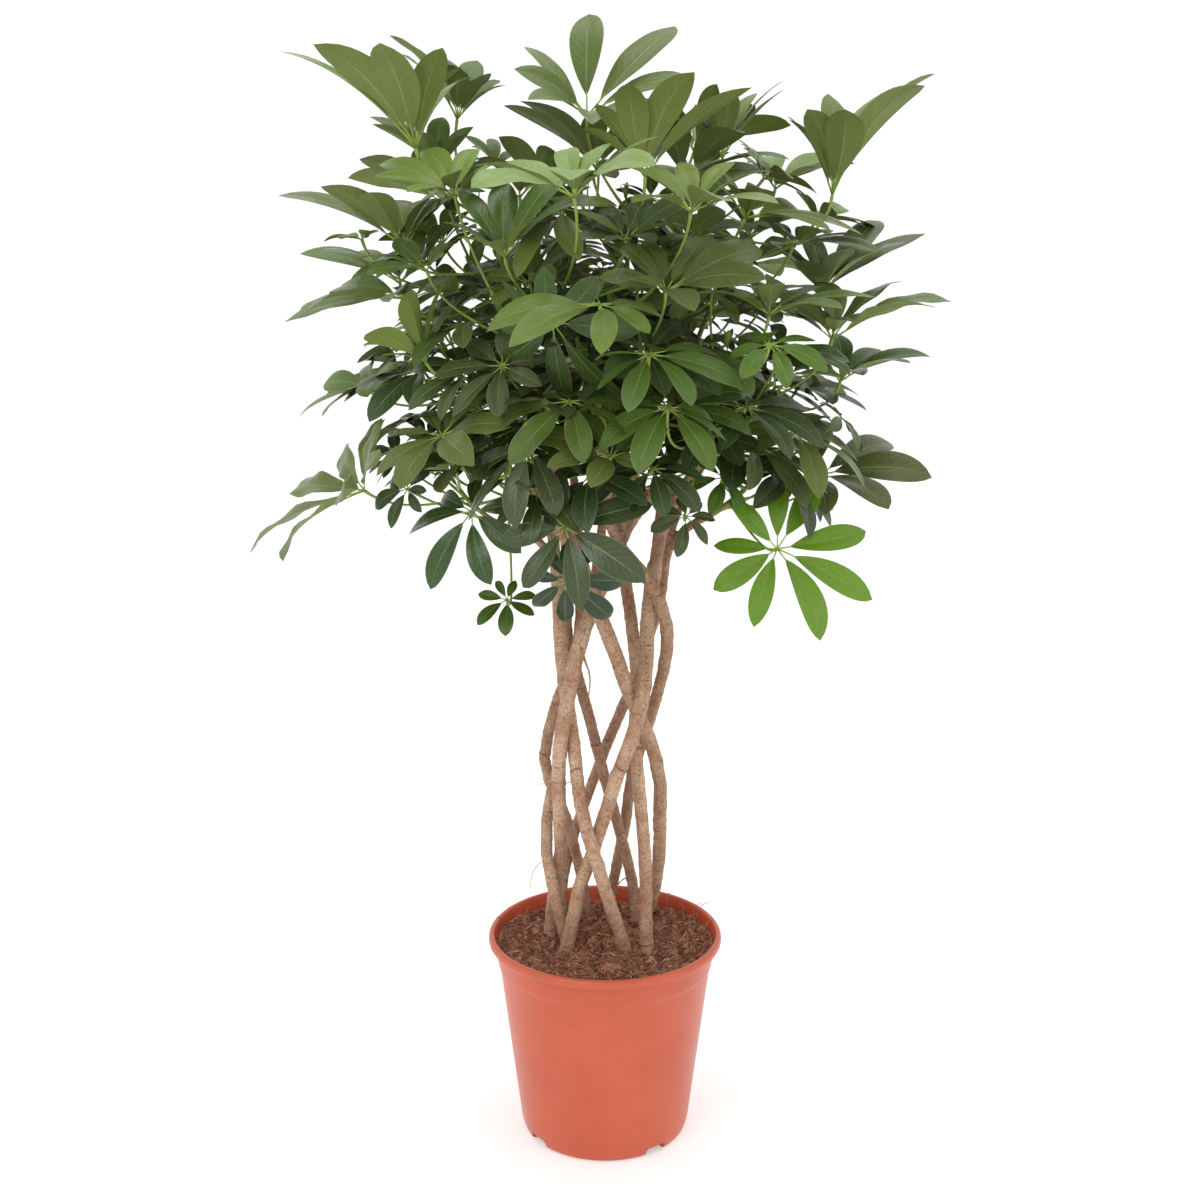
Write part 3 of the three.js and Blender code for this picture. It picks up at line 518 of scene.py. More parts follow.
def shootMaterial(plan):  # green wood: brown where it leaves the stem, fresh green at its tip
    material, tree, shader = newMaterial("shootBark", Specular_IOR_Level=0.35)
    scars = ringMarks(tree, 0.011, 0.05, 0.15)
    cloud, pores = cloudMask(tree, 0.015, 0.35, 0.65), dotMask(tree, 0.0026, 0.24)
    green, brown = (blendColour(tree, cloud, *plan[tone]) for tone in ("greenShoot", "brownShoot"))
    turning = maths(tree, "ADD", mark(tree, "age"), maths(tree, "MULTIPLY", cloud, 0.3))
    base = blendColour(tree, spread(tree, turning, 0.45, 1.1), green, brown)
    colour = layered(tree, base, (pores, 0.35, plan["shootDot"]), (scars["Mask"], 0.7, plan["shootRing"]))
    wear(tree, shader, colour, spread(tree, cloud, 0, 1, 0.42, 0.6), bump(tree, scars["Height"], 0.6, 0.0008))
    return material


def rootMaterial(plan):
    material, tree, shader = newMaterial("airRoot", Specular_IOR_Level=0.3)
    cloud = cloudMask(tree, 0.006, 0.35, 0.65)
    colour = blendColour(tree, cloud, *plan["root"])
    wear(tree, shader, colour, spread(tree, cloud, 0, 1, 0.6, 0.75), bump(tree, cloud, 0.4, 0.0004))
    return material


leafTop, leafUnder = leafTopMaterial(leafPlan), leafUnderMaterial(leafPlan)
leafStalk = stalkMaterial(leafPlan)
stemBark, shootBark, airRoot = barkMaterial(woodPlan), shootMaterial(woodPlan), rootMaterial(woodPlan)
print("plant finishes made")


# the pot: a turned shell with a rolled rim, a shallow band, notches in its foot and holes in its floor

potPlan = {
    "turns": 192,
    "outside": (  # radius and height in millimetres, from the middle of the base up to the rim
        (0, 0), (26, 0), (30, 5), (73, 5), (76, 0), (82, 0), (84.6, 1.4), (86, 4.5), (88, 13),
        (92.4, 49), (97.7, 92), (103.0, 135), (108.4, 179), (109.0, 181.6), (110.2, 182.9),
        (110.9, 187), (112.2, 201.4), (112.8, 203.2), (114.2, 204), (117, 204.2), (118.7, 204.8),
        (119.6, 206.2), (120, 208.4), (119.8, 210.6), (119, 212.6), (117.8, 213.7), (116.2, 214),
        (114.7, 213.6), (113.8, 212.4)),
    "inside": (
        (113.2, 210), (111.7, 203), (108.3, 181), (103, 138), (97.5, 95), (92, 52), (86.9, 18),
        (86, 14), (82, 8), (28, 8), (24, 3), (0, 3)),
    "notches": 4, "notchTurn": 37,  # degrees from the viewer's side to the first notch
    "notchWide": 0.024, "notchHigh": 0.0085, "notchDeep": 0.03, "notchAt": 0.085, "notchRound": 0.002,
    "drain": 0.006, "drainAt": 0.06, "drainDeep": 0.012,
    "sharp": 38,  # degrees between two faces whose edge stays crisp
    "plastic": (paint(187, 80, 48), paint(195, 87, 54)), "drawn": paint(168, 68, 42),
    "dust": paint(138, 82, 60), "scuff": paint(140, 56, 40),
}


def potMaterial(plan):
    material, tree, shader = newMaterial("potPlastic", Specular_IOR_Level=0.5, IOR=1.5)
    height = node(tree, "ShaderNodeSeparateXYZ", {"Vector": spot(tree)}).outputs["Z"]
    cloud, fine = cloudMask(tree, 0.07, 0.3, 0.7), cloudMask(tree, 0.0025, 0.3, 0.7)
    dusty, marks = cloudMask(tree, 0.012, 0.52, 0.74), dotMask(tree, 0.021, 0.05)
    around = node(tree, "ShaderNodeMapping", {"Vector": spot(tree), "Scale": (30, 30, 900)})
    lines = node(tree, "ShaderNodeTexNoise", {"Vector": around.outputs[0], "Scale": 1.0, "Detail": 3.0})
    rimDust = maths(tree, "MULTIPLY", dusty, spread(tree, height, 0.193, 0.214, 0.0, 0.4))
    footDust = maths(tree, "MULTIPLY", dusty, spread(tree, height, 0.0, 0.03, 0.25, 0.0))
    dust = maths(tree, "MAXIMUM", rimDust, footDust)
    plastic = blendColour(tree, cloud, *plan["plastic"])
    colour = layered(tree, plastic, (lines.outputs["Fac"], 0.12, plan["drawn"]),
                     (dust, 1.0, plan["dust"]), (marks, 0.45, plan["scuff"]))
    sheen = maths(tree, "ADD", spread(tree, cloud, 0, 1, 0.3, 0.38), maths(tree, "MULTIPLY", dust, 0.3))
    ripple = bump(tree, lines.outputs["Fac"], 0.08, 0.0005)
    wear(tree, shader, colour, sheen, bump(tree, fine, 0.06, 0.0004, ripple))
    return material


def potShell(plan):
    work = bmesh.new()
    turns = [2 * math.pi * k / plan["turns"] for k in range(plan["turns"])]
    rings = []
    for radius, height in plan["outside"] + plan["inside"]:
        r, z = radius / 1000, height / 1000
        around = turns if radius else turns[:1]
        rings.append([work.verts.new((r * math.cos(t), r * math.sin(t), z)) for t in around])
    for lower, upper in zip(rings, rings[1:]):
        for k in range(plan["turns"]):
            n = (k + 1) % plan["turns"]
            a, b = len(lower), len(upper)
            corners = (lower[k % a], lower[n % a], upper[n % b], upper[k % b])
            work.faces.new(list(dict.fromkeys(corners)))  # at the middle, two corners are one
    bmesh.ops.recalc_face_normals(work, faces=work.faces)
    return meshFrom(work, "potShell")


def potCutters(plan):
    work = bmesh.new()
    bearings = [plan["notchTurn"] + 360 / plan["notches"] * k - 90 for k in range(plan["notches"])]
    turns = [Matrix.Rotation(math.radians(bearing), 4, "Z") for bearing in bearings]
    size = Matrix.Diagonal((plan["notchDeep"], plan["notchWide"], 2 * plan["notchHigh"], 1))
    for turn in turns:
        bmesh.ops.create_cube(work, size=1, matrix=turn @ Matrix.Translation((plan["notchAt"], 0, 0)) @ size)
    bmesh.ops.bevel(work, geom=list(work.edges), offset=plan["notchRound"], segments=3, affect="EDGES")
    for turn in turns:
        middle = Matrix.Translation((plan["drainAt"], 0, plan["drainDeep"] / 2))
        bmesh.ops.create_cone(work, segments=32, radius1=plan["drain"], radius2=plan["drain"],
                              depth=plan["drainDeep"], cap_ends=True, matrix=turn @ middle)
    return meshFrom(work, "potNotches")


def makePot(plan):
    shell, cutter = laidOut("potShell", potShell(plan)), laidOut("potNotches", potCutters(plan))
    cut = shell.modifiers.new("notches", "BOOLEAN")
    cut.object, cut.solver, cut.use_self = cutter, "EXACT", True
    mesh = asShown(shell)
    for spare in (shell, cutter):
        bpy.data.objects.remove(spare)
    mesh.materials.clear()
    mesh.shade_smooth()
    mesh.set_sharp_from_angle(angle=math.radians(plan["sharp"]))
    addPiece("growingPot", mesh, [potMaterial(plan)], ["pot"])


makePot(potPlan)
print("pot turned")


# the coir: rough soil that meets the wall and sinks among the stems, with fibres and bits of bark over it

soilPlan = {
    "radius": 0.1113, "edge": 0.2035, "middle": 0.1975,  # the level at the wall and at the centre
    "backDrop": 0.0040, "backFrom": 0.045, "backTo": 0.11,  # how much lower it lies behind the stems
    "wallSlope": 0.155,  # how much the pot's wall draws in for each step down
    "rings": 84, "turns": 330,
    "clods": ((0.03, 0.0036), (0.013, 0.0048), (0.006, 0.0026)),  # size and height of each layer of lumps
    "base": ((0.1076, 0.178), (0.0978, 0.097), (0.0862, 0.015), (0.0815, 0.0084)),
    "fibres": 2700, "fibreCurl": 2.6, "fibreLong": (0.008, 0.03), "fibreLifts": (0.0005, 0.001, 0.002, 0.004),
    "chips": 420, "chipSize": (0.0008, 0.0026), "pale": 44, "paleSize": (0.0007, 0.0014),
    # hairs that stand up at the wall: pixel of the photograph at the foot, rise and lean in metres, tint
    "strays": (
        (672, 903, 0.021, 0.006, 0.45), (699, 917, 0.019, 0.011, 0.35), (703, 920, 0.023, 0.016, 0.3),
        (712, 930, 0.013, 0.009, 0.5), (503, 927, 0.013, -0.013, 0.2), (510, 919, 0.014, -0.009, 0.3),
        (612, 899, 0.013, 0.009, 0.4), (690, 911, 0.012, -0.005, 0.6), (641, 899, 0.011, -0.008, 0.5),
        (520, 911, 0.010, 0.006, 0.6), (716, 944, 0.009, 0.010, 0.4), (497, 944, 0.010, -0.007, 0.4)),
    "coir": (paint(148, 90, 64), paint(190, 124, 94)), "crumb": paint(222, 156, 122),
    # hollow is painted shade: the dark where the soil dips between its lumps
    "grain": paint(60, 34, 24), "dust": paint(214, 156, 128), "hollow": paint(42, 23, 17),
    "darkFibre": (paint(96, 56, 40), paint(136, 84, 62)),
    "paleFibre": (paint(184, 134, 104), paint(214, 170, 138)),
}


def smoothLevel(x, y, plan=soilPlan):
    r = math.hypot(x, y) / plan["radius"]
    level = plan["edge"] + (plan["middle"] - plan["edge"]) * (1 - r * r)
    return level - plan["backDrop"] * float(smoothStep(plan["backFrom"], plan["backTo"], y))


def soilHeight(x, y, plan=soilPlan):
    r = math.hypot(x, y) / plan["radius"]
    level = smoothLevel(x, y)
    fade = 1 - 0.8 * max(0.0, min(1.0, (r - 0.86) / 0.14))  # the lumps flatten towards the wall
    for size, high in plan["clods"]:
        lump = noise.noise(Vector((x / size, y / size, size * 90)))
        level += fade * high * (lump if size > 0.02 else abs(lump) * 2 - 0.5)
    return level


def soilReach(level, plan=soilPlan):  # the soil's radius where it meets the wall at this height
    return plan["radius"] - plan["wallSlope"] * max(0.0, plan["edge"] - level)


def soilMaterial(plan):
    material, tree, shader = newMaterial("coir", Specular_IOR_Level=0.2)
    cloud, fine = cloudMask(tree, 0.02, 0.35, 0.65), cloudMask(tree, 0.0035, 0.35, 0.65)
    dust, grains = cloudMask(tree, 0.0012, 0.3, 0.7), dotMask(tree, 0.0036, 0.3)
    colour = layered(
        tree, blendColour(tree, cloud, *plan["coir"]), (fine, 0.8, plan["crumb"]),
        # painted shade in the soil's dips
        (grains, 0.6, plan["grain"]), (dust, 0.4, plan["dust"]), (mark(tree, "hollow"), 1.0, plan["hollow"]))
    crumbs = bump(tree, fine, 0.9, 0.0024)
    wear(tree, shader, colour, spread(tree, fine, 0, 1, 0.85, 0.95), bump(tree, dust, 0.4, 0.0008, crumbs))
    return material


def fibreMaterial(plan):
    material, tree, shader = newMaterial("coirFibre", Specular_IOR_Level=0.25)
    cloud = cloudMask(tree, 0.004, 0.35, 0.65)
    dark, pale = (blendColour(tree, cloud, *plan[tone]) for tone in ("darkFibre", "paleFibre"))
    colour = blendColour(tree, mark(tree, "tint"), dark, pale)
    wear(tree, shader, colour, spread(tree, cloud, 0, 1, 0.7, 0.85), bump(tree, cloud, 0.5, 0.0003))
    return material


def soilBody(plan):
    turns = plan["turns"]
    bearings = [2 * math.pi * k / turns for k in range(turns)]
    points = [(0, 0, soilHeight(0, 0))]
    for i in range(1, plan["rings"] + 1):
        for turn in bearings:
            way = Vector((math.cos(turn), math.sin(turn)))
            x, y = way * (soilReach(soilHeight(*(way * plan["radius"]))) * i / plan["rings"])
            points.append((x, y, soilHeight(x, y)))
    for radius, level in plan["base"]:
        points.extend((radius * math.cos(turn), radius * math.sin(turn), level) for turn in bearings)
    points.append((0, 0, plan["base"][-1][1]))
    last = len(points) - 1 - turns
    pairs = [(k, (k + 1) % turns) for k in range(turns)]
    faces = [(0, 1 + k, 1 + n) for k, n in pairs]
    for first in range(1, last, turns):
        faces.extend((first + k, first + turns + k, first + turns + n, first + n) for k, n in pairs)
    faces.extend((last + k, len(points) - 1, last + n) for k, n in pairs)
    body = Weave()
    # painted shade: the hollow mark grows where a point lies below the soil's smooth level
    body.add(points, faces, hollow=[smoothStep(0.0, 0.0026, smoothLevel(x, y) - z) for x, y, z in points])
    return body.mesh("coirSoil")


def addFibres(litter, plan, chance):  # fibres lie in loose arcs, and some lift at one end
    for _ in range(plan["fibres"]):
        r, turn = plan["radius"] * math.sqrt(chance.random()) * 0.985, chance.uniform(0, 2 * math.pi)
        x, y, way = r * math.cos(turn), r * math.sin(turn), chance.uniform(0, 2 * math.pi)
        curl = chance.uniform(-plan["fibreCurl"], plan["fibreCurl"])
        length = chance.uniform(*plan["fibreLong"])
        lift = chance.choice(plan["fibreLifts"]) * chance.random()
        path = []
        for s in range(6):
            path.append((x, y, soilHeight(x, y) + 0.0005 + lift * math.sin(math.pi * s / 5)))
            way += curl / 5
            x += length / 5 * math.cos(way)
            y += length / 5 * math.sin(way)
            if math.hypot(x, y) > soilReach(soilHeight(x, y)) * 0.985:
                break
        if len(path) < 3:
            continue
        thick = 0.0002 + 0.0006 * chance.random() ** 2
        widths = [thick] * (len(path) - 1) + [thick * 0.4]
        litter.add(*ringsAlong(path, widths, 3), tint=chance.random() ** 2)


def addChips(litter, plan, chance):  # chips of bark, and a few pale crumbs
    for n in range(plan["chips"] + plan["pale"]):
        pale = n >= plan["chips"]
        r, turn = plan["radius"] * math.sqrt(chance.random()) * 0.96, chance.uniform(0, 2 * math.pi)
        x, y = r * math.cos(turn), r * math.sin(turn)
        size = chance.uniform(*plan["paleSize" if pale else "chipSize"])
        lump = bmesh.new()
        bmesh.ops.create_icosphere(lump, subdivisions=1, radius=size)
        stretch = (1, 1, 0.7) if pale else (chance.uniform(1, 2.6), 1, 0.5)
        for vertex in lump.verts:
            vertex.co *= chance.uniform(0.75, 1.2)
            vertex.co = Vector(a * b for a, b in zip(vertex.co, stretch))
            vertex.co.rotate(Matrix.Rotation(turn * 7, 3, "Z"))
        points = [(v.co.x + x, v.co.y + y, v.co.z + soilHeight(x, y) + size * 0.2) for v in lump.verts]
        faces = [[v.index for v in f.verts] for f in lump.faces]
        lump.free()
        litter.add(points, faces, tint=1.25 if pale else 0.5 * chance.random() ** 2)


def addStrays(litter, plan):
    for px, py, rise, lean, tint in plan["strays"]:
        root, way = sightLine(px, py)
        x, y, _ = root + way * ((plan["edge"] - root.z) / way.z)
        inward = min(1.0, 0.107 / math.hypot(x, y))
        x, y = x * inward, y * inward
        foot = Vector((x, y, soilHeight(x, y) - 0.001))
        tip = foot + Vector((lean, 0.002, rise))
        path = bentLine(foot, foot + Vector((0, 0, rise * 0.6)), tip - Vector((lean * 0.7, 0, 0)), tip, 9)
        litter.add(*ringsAlong(path, np.linspace(0.00055, 0.00028, 9), 4), tint=tint)


def makeSoil(plan):
    addPiece("coirSoil", soilBody(plan), [soilMaterial(plan)], ["soil"])
    litter, chance = Weave(), random.Random(51)
    addFibres(litter, plan, chance)
    addChips(litter, plan, chance)
    addStrays(litter, plan)
    addPiece("coirFibres", litter.mesh("coirFibres"), [fibreMaterial(plan)])


makeSoil(soilPlan)
print("coir laid")


# the stems: the solid is remeshed, rounded, and given rings, knots and rough bark

barkPlan = {
    "grain": 0.0018, "rounding": 18, "swell": 0.00035,
    "rings": (0.03, 0.07),  # least and most distance between two rings
    "ringRise": 0.00045, "ringWide": 0.0024, "grooveBelow": 0.0032, "grooveWide": 0.0012,
    "knots": 7, "knotRise": 0.0012, "knotSize": 0.0042,
    "lumps": 0.0003, "lumpScale": 55, "grit": 0.00006, "gritScale": (420, 420, 240),
    "brownFrom": 0.56, "brownTo": 0.74,  # heights over which the tan bark turns brown
    "paintedBackShade": {  # painted shade: how much darker and redder than the rest a stem's bark is, most on the stems at the back
        "stem_back_left": 0.9, "stem_back_middle": 0.8, "stem_back_right": 1.0, "stem_left_behind": 0.7,
        "stem_left_outer": 0.25, "stem_right": 0.4, "stem_front_left": 0.15},
}


def roundedMesh(source, grain, rounding, swell):
    copy = laidOut("roundedCopy", source.copy())
    remesh = copy.modifiers.new("skin", "REMESH")
    remesh.mode, remesh.voxel_size, remesh.adaptivity = "VOXEL", grain, 0
    mesh = asShown(copy)
    bpy.data.objects.remove(copy)
    count = len(mesh.vertices)
    points = np.empty(count * 3)
    mesh.vertices.foreach_get("co", points)
    points = points.reshape(-1, 3)
    edges = np.empty(len(mesh.edges) * 2, int)
    mesh.edges.foreach_get("vertices", edges)
    a, b = edges.reshape(-1, 2).T
    share = np.bincount(a, minlength=count) + np.bincount(b, minlength=count)
    for turn in range(2 * rounding):  # in and out by turns, so that the form rounds off and doesn't shrink
        pull = 0.6 if turn % 2 == 0 else -0.62
        sums = [np.bincount(a, points[b, i], count) + np.bincount(b, points[a, i], count) for i in range(3)]
        drift = np.stack(sums, 1) / share[:, None] - points
        points = points + pull * drift
    mesh.vertices.foreach_set("co", points.ravel())
    mesh.update()
    outward = np.empty(count * 3)
    mesh.vertex_normals.foreach_get("vector", outward)
    outward = outward.reshape(-1, 3)
    return mesh, points + outward * swell, outward


def trunkAxis(source):  # the stem's solid has level rings of points, so their middles are its axis
    levels = {}
    for vertex in source.vertices:
        levels.setdefault(round(vertex.co.z * 50000), set()).add(tuple(round(c, 6) for c in vertex.co))
    axis = []
    for level in sorted(levels):  # a level counts when its points are one round ring, away from any fork
        ring = np.array(sorted(levels[level]))
        middle = ring.mean(0)
        reach = np.linalg.norm(ring - middle, axis=1)
        if len(ring) >= 5 and reach.max() < 1.35 * reach.min() and reach.max() < 0.014:
            axis.append(middle)
    return np.array(axis)


def alongAxis(points, axis):  # distance along the stem of each point, and on past its top
    best, along = np.full(len(points), 1e9), np.zeros(len(points))
    start = 0.0
    for i in range(len(axis) - 1):
        step = axis[i + 1] - axis[i]
        length = np.linalg.norm(step)
        t = (points - axis[i]) @ step / length ** 2
        t = np.clip(t, 0, None if i == len(axis) - 2 else 1)
        away = np.linalg.norm(points - axis[i] - np.minimum(t, 1)[:, None] * step, axis=1)
        nearer = away < best
        best[nearer], along[nearer] = away[nearer], start + np.minimum(t, 1)[nearer] * length
        start += length
    beyond = along > start - 1e-6
    along[beyond] = start + np.linalg.norm(points[beyond] - axis[-1], axis=1)
    return along


def barkRise(name, points, along, plan):  # how far the bark stands out at each point
    chance = random.Random(sum(map(ord, name)))
    rise = np.zeros(len(points))
    station = chance.uniform(0.01, 0.03)
    while station < along.max():  # a low swollen ring, with a groove under it
        gap = along - station
        rise += plan["ringRise"] * chance.uniform(0.3, 1) * np.exp(-(gap / plan["ringWide"]) ** 2)
        rise -= plan["ringRise"] * 0.7 * np.exp(-((gap + plan["grooveBelow"]) / plan["grooveWide"]) ** 2)
        station += chance.uniform(*plan["rings"])
    for _ in range(plan["knots"]):  # a low swelling with a dimple
        middle = points[chance.randrange(len(points))]
        away = np.linalg.norm(points - middle, axis=1) / plan["knotSize"]
        form = np.exp(-away ** 2) - 0.6 * np.exp(-(away / 0.4) ** 2)
        rise += plan["knotRise"] * chance.uniform(0.4, 1) * form
    return rise


def makeStem(name, plan):
    source = nodes[name].data
    mesh, points, outward = roundedMesh(source, plan["grain"], plan["rounding"], plan["swell"])
    along = alongAxis(points, trunkAxis(source))
    lumps = np.array([noise.noise(Vector(p) * plan["lumpScale"]) for p in points])
    grit = np.array([noise.noise(Vector(p * np.array(plan["gritScale"]))) for p in points])
    rise = barkRise(name, points, along, plan)
    rise += plan["lumps"] * lumps + plan["grit"] * grit
    points = points + outward * rise[:, None]
    mesh.vertices.foreach_set("co", points.ravel())
    mesh.materials.clear()
    mesh.shade_smooth()
    setMark(mesh, "along", along)
    setMark(mesh, "age", 1 - smoothStep(plan["brownFrom"], plan["brownTo"], points[:, 2] + 0.03 * lumps))
    setMark(mesh, "paintedBackShade", np.full(len(points), plan["paintedBackShade"].get(name, 0.0)))
    addPiece("bark_" + name, mesh, [stemBark], [name])
    return BVHTree.FromPolygons([Vector(p) for p in points], [list(f.vertices) for f in mesh.polygons])


stemNames = sorted(name for name in nodes if name.startswith("stem_"))
stemSkins = {name: makeStem(name, barkPlan) for name in stemNames}
print("stems barked:", len(stemNames))


# thin roots and hairs that hang from the stems, each from the bark seen at its first pixel

rootPlan = {
    "sides": 6, "distance": 1.6,  # metres from the camera to the stems
    "roots": (  # pixels of the photograph from its start to its end, start and end width in millimetres
        (((579, 638), (581, 652), (586, 664), (589, 672), (590, 684), (588, 700)), 2.3, 1.3),
        (((581, 645), (584, 655), (588, 668), (590, 678)), 1.4, 0.8),
        (((547, 826), (544, 836), (543, 846), (545, 856), (543, 866)), 1.3, 0.8),
        (((571, 782), (560, 784), (549, 782), (536, 786)), 0.9, 0.5),
        (((544, 860), (537, 866), (532, 876), (530, 890)), 0.9, 0.6),
        (((641, 782), (639, 788), (636, 793), (633, 794)), 0.8, 0.5),
        (((637, 884), (630, 878), (622, 880), (616, 888)), 2.0, 1.2),
        (((651, 690), (648, 698), (645, 706)), 0.8, 0.5),
        (((658, 757), (661, 762), (659, 768)), 0.8, 0.5),
    ),
}


def makeRoots(plan):
    hanging = Weave()
    for pixels, wide, narrow in plan["roots"]:
        start, way = sightLine(*pixels[0])
        hits = [skin.ray_cast(start, way) for skin in stemSkins.values()]
        hits = [hit for hit in hits if hit[0] is not None]
        if not hits:  # the pixel just misses the bark, so the nearest bark is taken
            hits = [skin.find_nearest(start + way * plan["distance"]) for skin in stemSkins.values()]
        hit = min(hits, key=lambda found: found[3])
        depth = (hit[0] - start).y
        path = [hit[0] - hit[1] * 0.001]
        for px, py in pixels[1:]:
            root, way = sightLine(px, py)
            path.append(root + way * ((depth - 0.002) / way.y))
        fine = []
        for i in range(len(path) - 1):
            before, after = path[max(i - 1, 0)], path[min(i + 2, len(path) - 1)]
            leave, arrive = (path[i + 1] - before) / 6, (after - path[i]) / 6
            fine.extend(bentLine(path[i], path[i] + leave, path[i + 1] - arrive, path[i + 1], 6)[:-1])
        fine.append(np.array(path[-1]))
        widths = np.linspace(wide, narrow, len(fine)) / 2000
        hanging.add(*ringsAlong(fine, widths, plan["sides"]))
    addPiece("airRoots", hanging.mesh("airRoots"), [airRoot])


makeRoots(rootPlan)
print("air roots hung")


# the leaves: each umbrella leaf of a shoot's solid is read, and made again with fine leaflets

leafForm = {
    "weld": 2e-5, "hubEdges": 20, "ringPoints": 4,  # in a solid: edges at a hub, points for each leaflet
    "twigWidths": (0.0022, 0.0045),
    "rows": 12, "columns": 6,
    "blade": 0.00062, "fold": 22, "curl": 0.17, "rib": 0.00045, "ribWide": 0.16,
    "halfWidth": 0.200, "widest": (0.95, (0.66, 0.98)),
    "stalklet": 0.14, "lift": 18, "droop": 28, "droopVaries": (-8, 12), "foldVaries": (-5, 6),
    "twist": 22, "sway": 0.045, "spineSteps": 40,
    "leaflets": 8, "smallLeaflets": 7, "small": 0.055, "stalk": 0.0013, "foot": 0.0022,
    "turnVaries": (-0.13, 0.13), "longVaries": (0.9, 1.04), "slopeVaries": (-0.15, 0.13),
    "knob": 0.0017, "stalkSteps": 15, "stalkSides": 7,
    "bud": (0.013, 0.022),  # how long the folded young leaflets of a bud are
    # painted light: painted shade lies within darkWithin of the axis and below darkBelow, painted light grows
    # over lightOver of height, and lightVaries adds a random share
    "darkWithin": 0.11, "darkBelow": 0.80, "lightOver": 0.18, "lightVaries": (-0.38, 0.3),
    # leaves picked out by the pixel of their hub: how fresh and cool their green is, how much painted shade
    # darkens them, and their ripple
    "pickWithin": 14, "pickDeepest": 0.09,  # pixels, and metres behind the crown's middle
    "freshAt": {(649, 355): 0.35, (365, 491): 0.4, (507, 600): 0.3, (769, 345): 0.7, (777, 549): 0.95,
                (362, 240): 0.8, (815, 222): 0.5, (723, 478): 0.4, (832, 380): 0.25},
    "coolAt": {(565, 527): 0.9, (503, 366): 1.0, (472, 512): 0.9, (530, 446): 1.0, (566, 580): 0.8,
               (408, 489): 0.5, (818, 476): 0.45, (686, 517): 0.5, (505, 258): 0.3},
    "wavyAt": {(365, 491): 0.022},
    "paintedShadeAt": {(587, 117): 0.5, (457, 120): 0.35, (722, 160): 0.4, (745, 219): 0.4},
}

innerPlan = {  # small shaded leaves that grow inside the crown, between the large ones
    "each": 4, "tries": 40, "stalk": (0.045, 0.1), "size": (0.056, 0.084), "room": 0.034,
    "width": 0.185, "bottom": 0.69, "top": 1.02,  # how far from the axis, and between which heights
    "hollow": 0.83,  # the lowest height right over the stems
    "hollowWide": 0.12, "middle": 0.01,
    "from": (0.05, 0.92), "climb": (-0.5, 0.7),  # where on the twig, and how steeply the stalk leaves it
    "leaflets": 6, "cup": (-22, 24),
}


def leafletPattern(rows, columns):
    # Places over a blade, 0 to 1 from base to tip and -1 to 1 across, and the faces of its two sides.
    top = {(i, j): i * (columns + 1) + j for i in range(rows + 1) for j in range(columns + 1)}
    below, count = dict(top), len(top)
    for i in range(1, rows):
        for j in range(1, columns):
            below[i, j] = count
            count += 1
    along, across, side = np.zeros(count), np.zeros(count), np.zeros(count)
    for layer, sheet in ((0, top), (1, below)):
        for (i, j), k in sheet.items():
            along[k], across[k] = i / rows, 2 * j / columns - 1
            side[k] = 1 if layer and 0 < i < rows and 0 < j < columns else 0
    faces, kinds = [], []
    for i in range(rows):
        for j in range(columns):
            corners = ((i, j), (i, j + 1), (i + 1, j + 1), (i + 1, j))
            faces.append([top[c] for c in corners])
            kinds.append(0)
            faces.append([below[c] for c in reversed(corners)])
            kinds.append(1)
    return along, across, side, faces, kinds


pattern = leafletPattern(leafForm["rows"], leafForm["columns"])


def middleOf(found):  # in the order of the mesh, so that each run gives the same last digit
    return sum((v.co for v in sorted(found, key=lambda v: v.index)), Vector()) / len(found)


def readShoot(mesh, form):
    # Finds the umbrella leaves of a shoot's solid, and the rings of its twig.
    work = bmesh.new()
    work.from_mesh(mesh)
    bmesh.ops.remove_doubles(work, verts=work.verts, dist=form["weld"])
    work.verts.ensure_lookup_table()
    work.verts.index_update()
    every = form["ringPoints"]
    leaves, spent = [], set()
    for hub in work.verts:
        if len(hub.link_edges) < form["hubEdges"]:
            continue
        around = {}
        for face in hub.link_faces:
            corners = [v for v in face.verts if v != hub]
            around.setdefault(corners[0], []).append(corners[1])
            around.setdefault(corners[1], []).append(corners[0])
        ring, last = [next(iter(around))], None
        while len(ring) < len(around):
            onward = [v for v in around[ring[-1]] if v != last][0]
            last = ring[-1]
            ring.append(onward)
        reach = [(v.co - hub.co).length for v in ring]
        start = max(range(every), key=lambda k: sum(reach[k::every]))
        levels, seen = [set(ring)], {hub, *ring}
        for _ in range(3):  # the blade's underside, the collar, and the stalk's middle
            following = {e.other_vert(v) for v in levels[-1] for e in v.link_edges} - seen
            seen |= following
            levels.append(following)
        collar, middle = levels[2], levels[3]
        spent |= seen
        leaves.append({
            "hub": hub.co.copy(), "tips": [v.co.copy() for v in ring[start::every]],
            "face": (hub.co - middleOf(collar)).normalized(), "middle": middleOf(middle)})
    twig = [v.co.copy() for v in work.verts if v not in spent]
    work.free()
    return leaves, twig


def twigAxis(points, form):  # a smooth line through the middle of the twig's points, and its width along it
    places = np.array([tuple(p) for p in points])
    middle = places.mean(0)
    heading = np.linalg.svd(places - middle)[2][0]
    if heading[2] < 0:
        heading = -heading
    reach = (places - middle) @ heading
    bends = [np.polyfit(reach, places[:, i], 2) for i in range(3)]
    away = np.linalg.norm(places - np.stack([np.polyval(bend, reach) for bend in bends], 1), axis=1)
    taper = np.polyfit(reach, away, 1)
    at = np.linspace(reach.min(), reach.max(), 9)
    widths = np.clip(np.polyval(taper, at), *form["twigWidths"])
    return list(np.stack([np.polyval(bend, at) for bend in bends], 1)), list(widths)


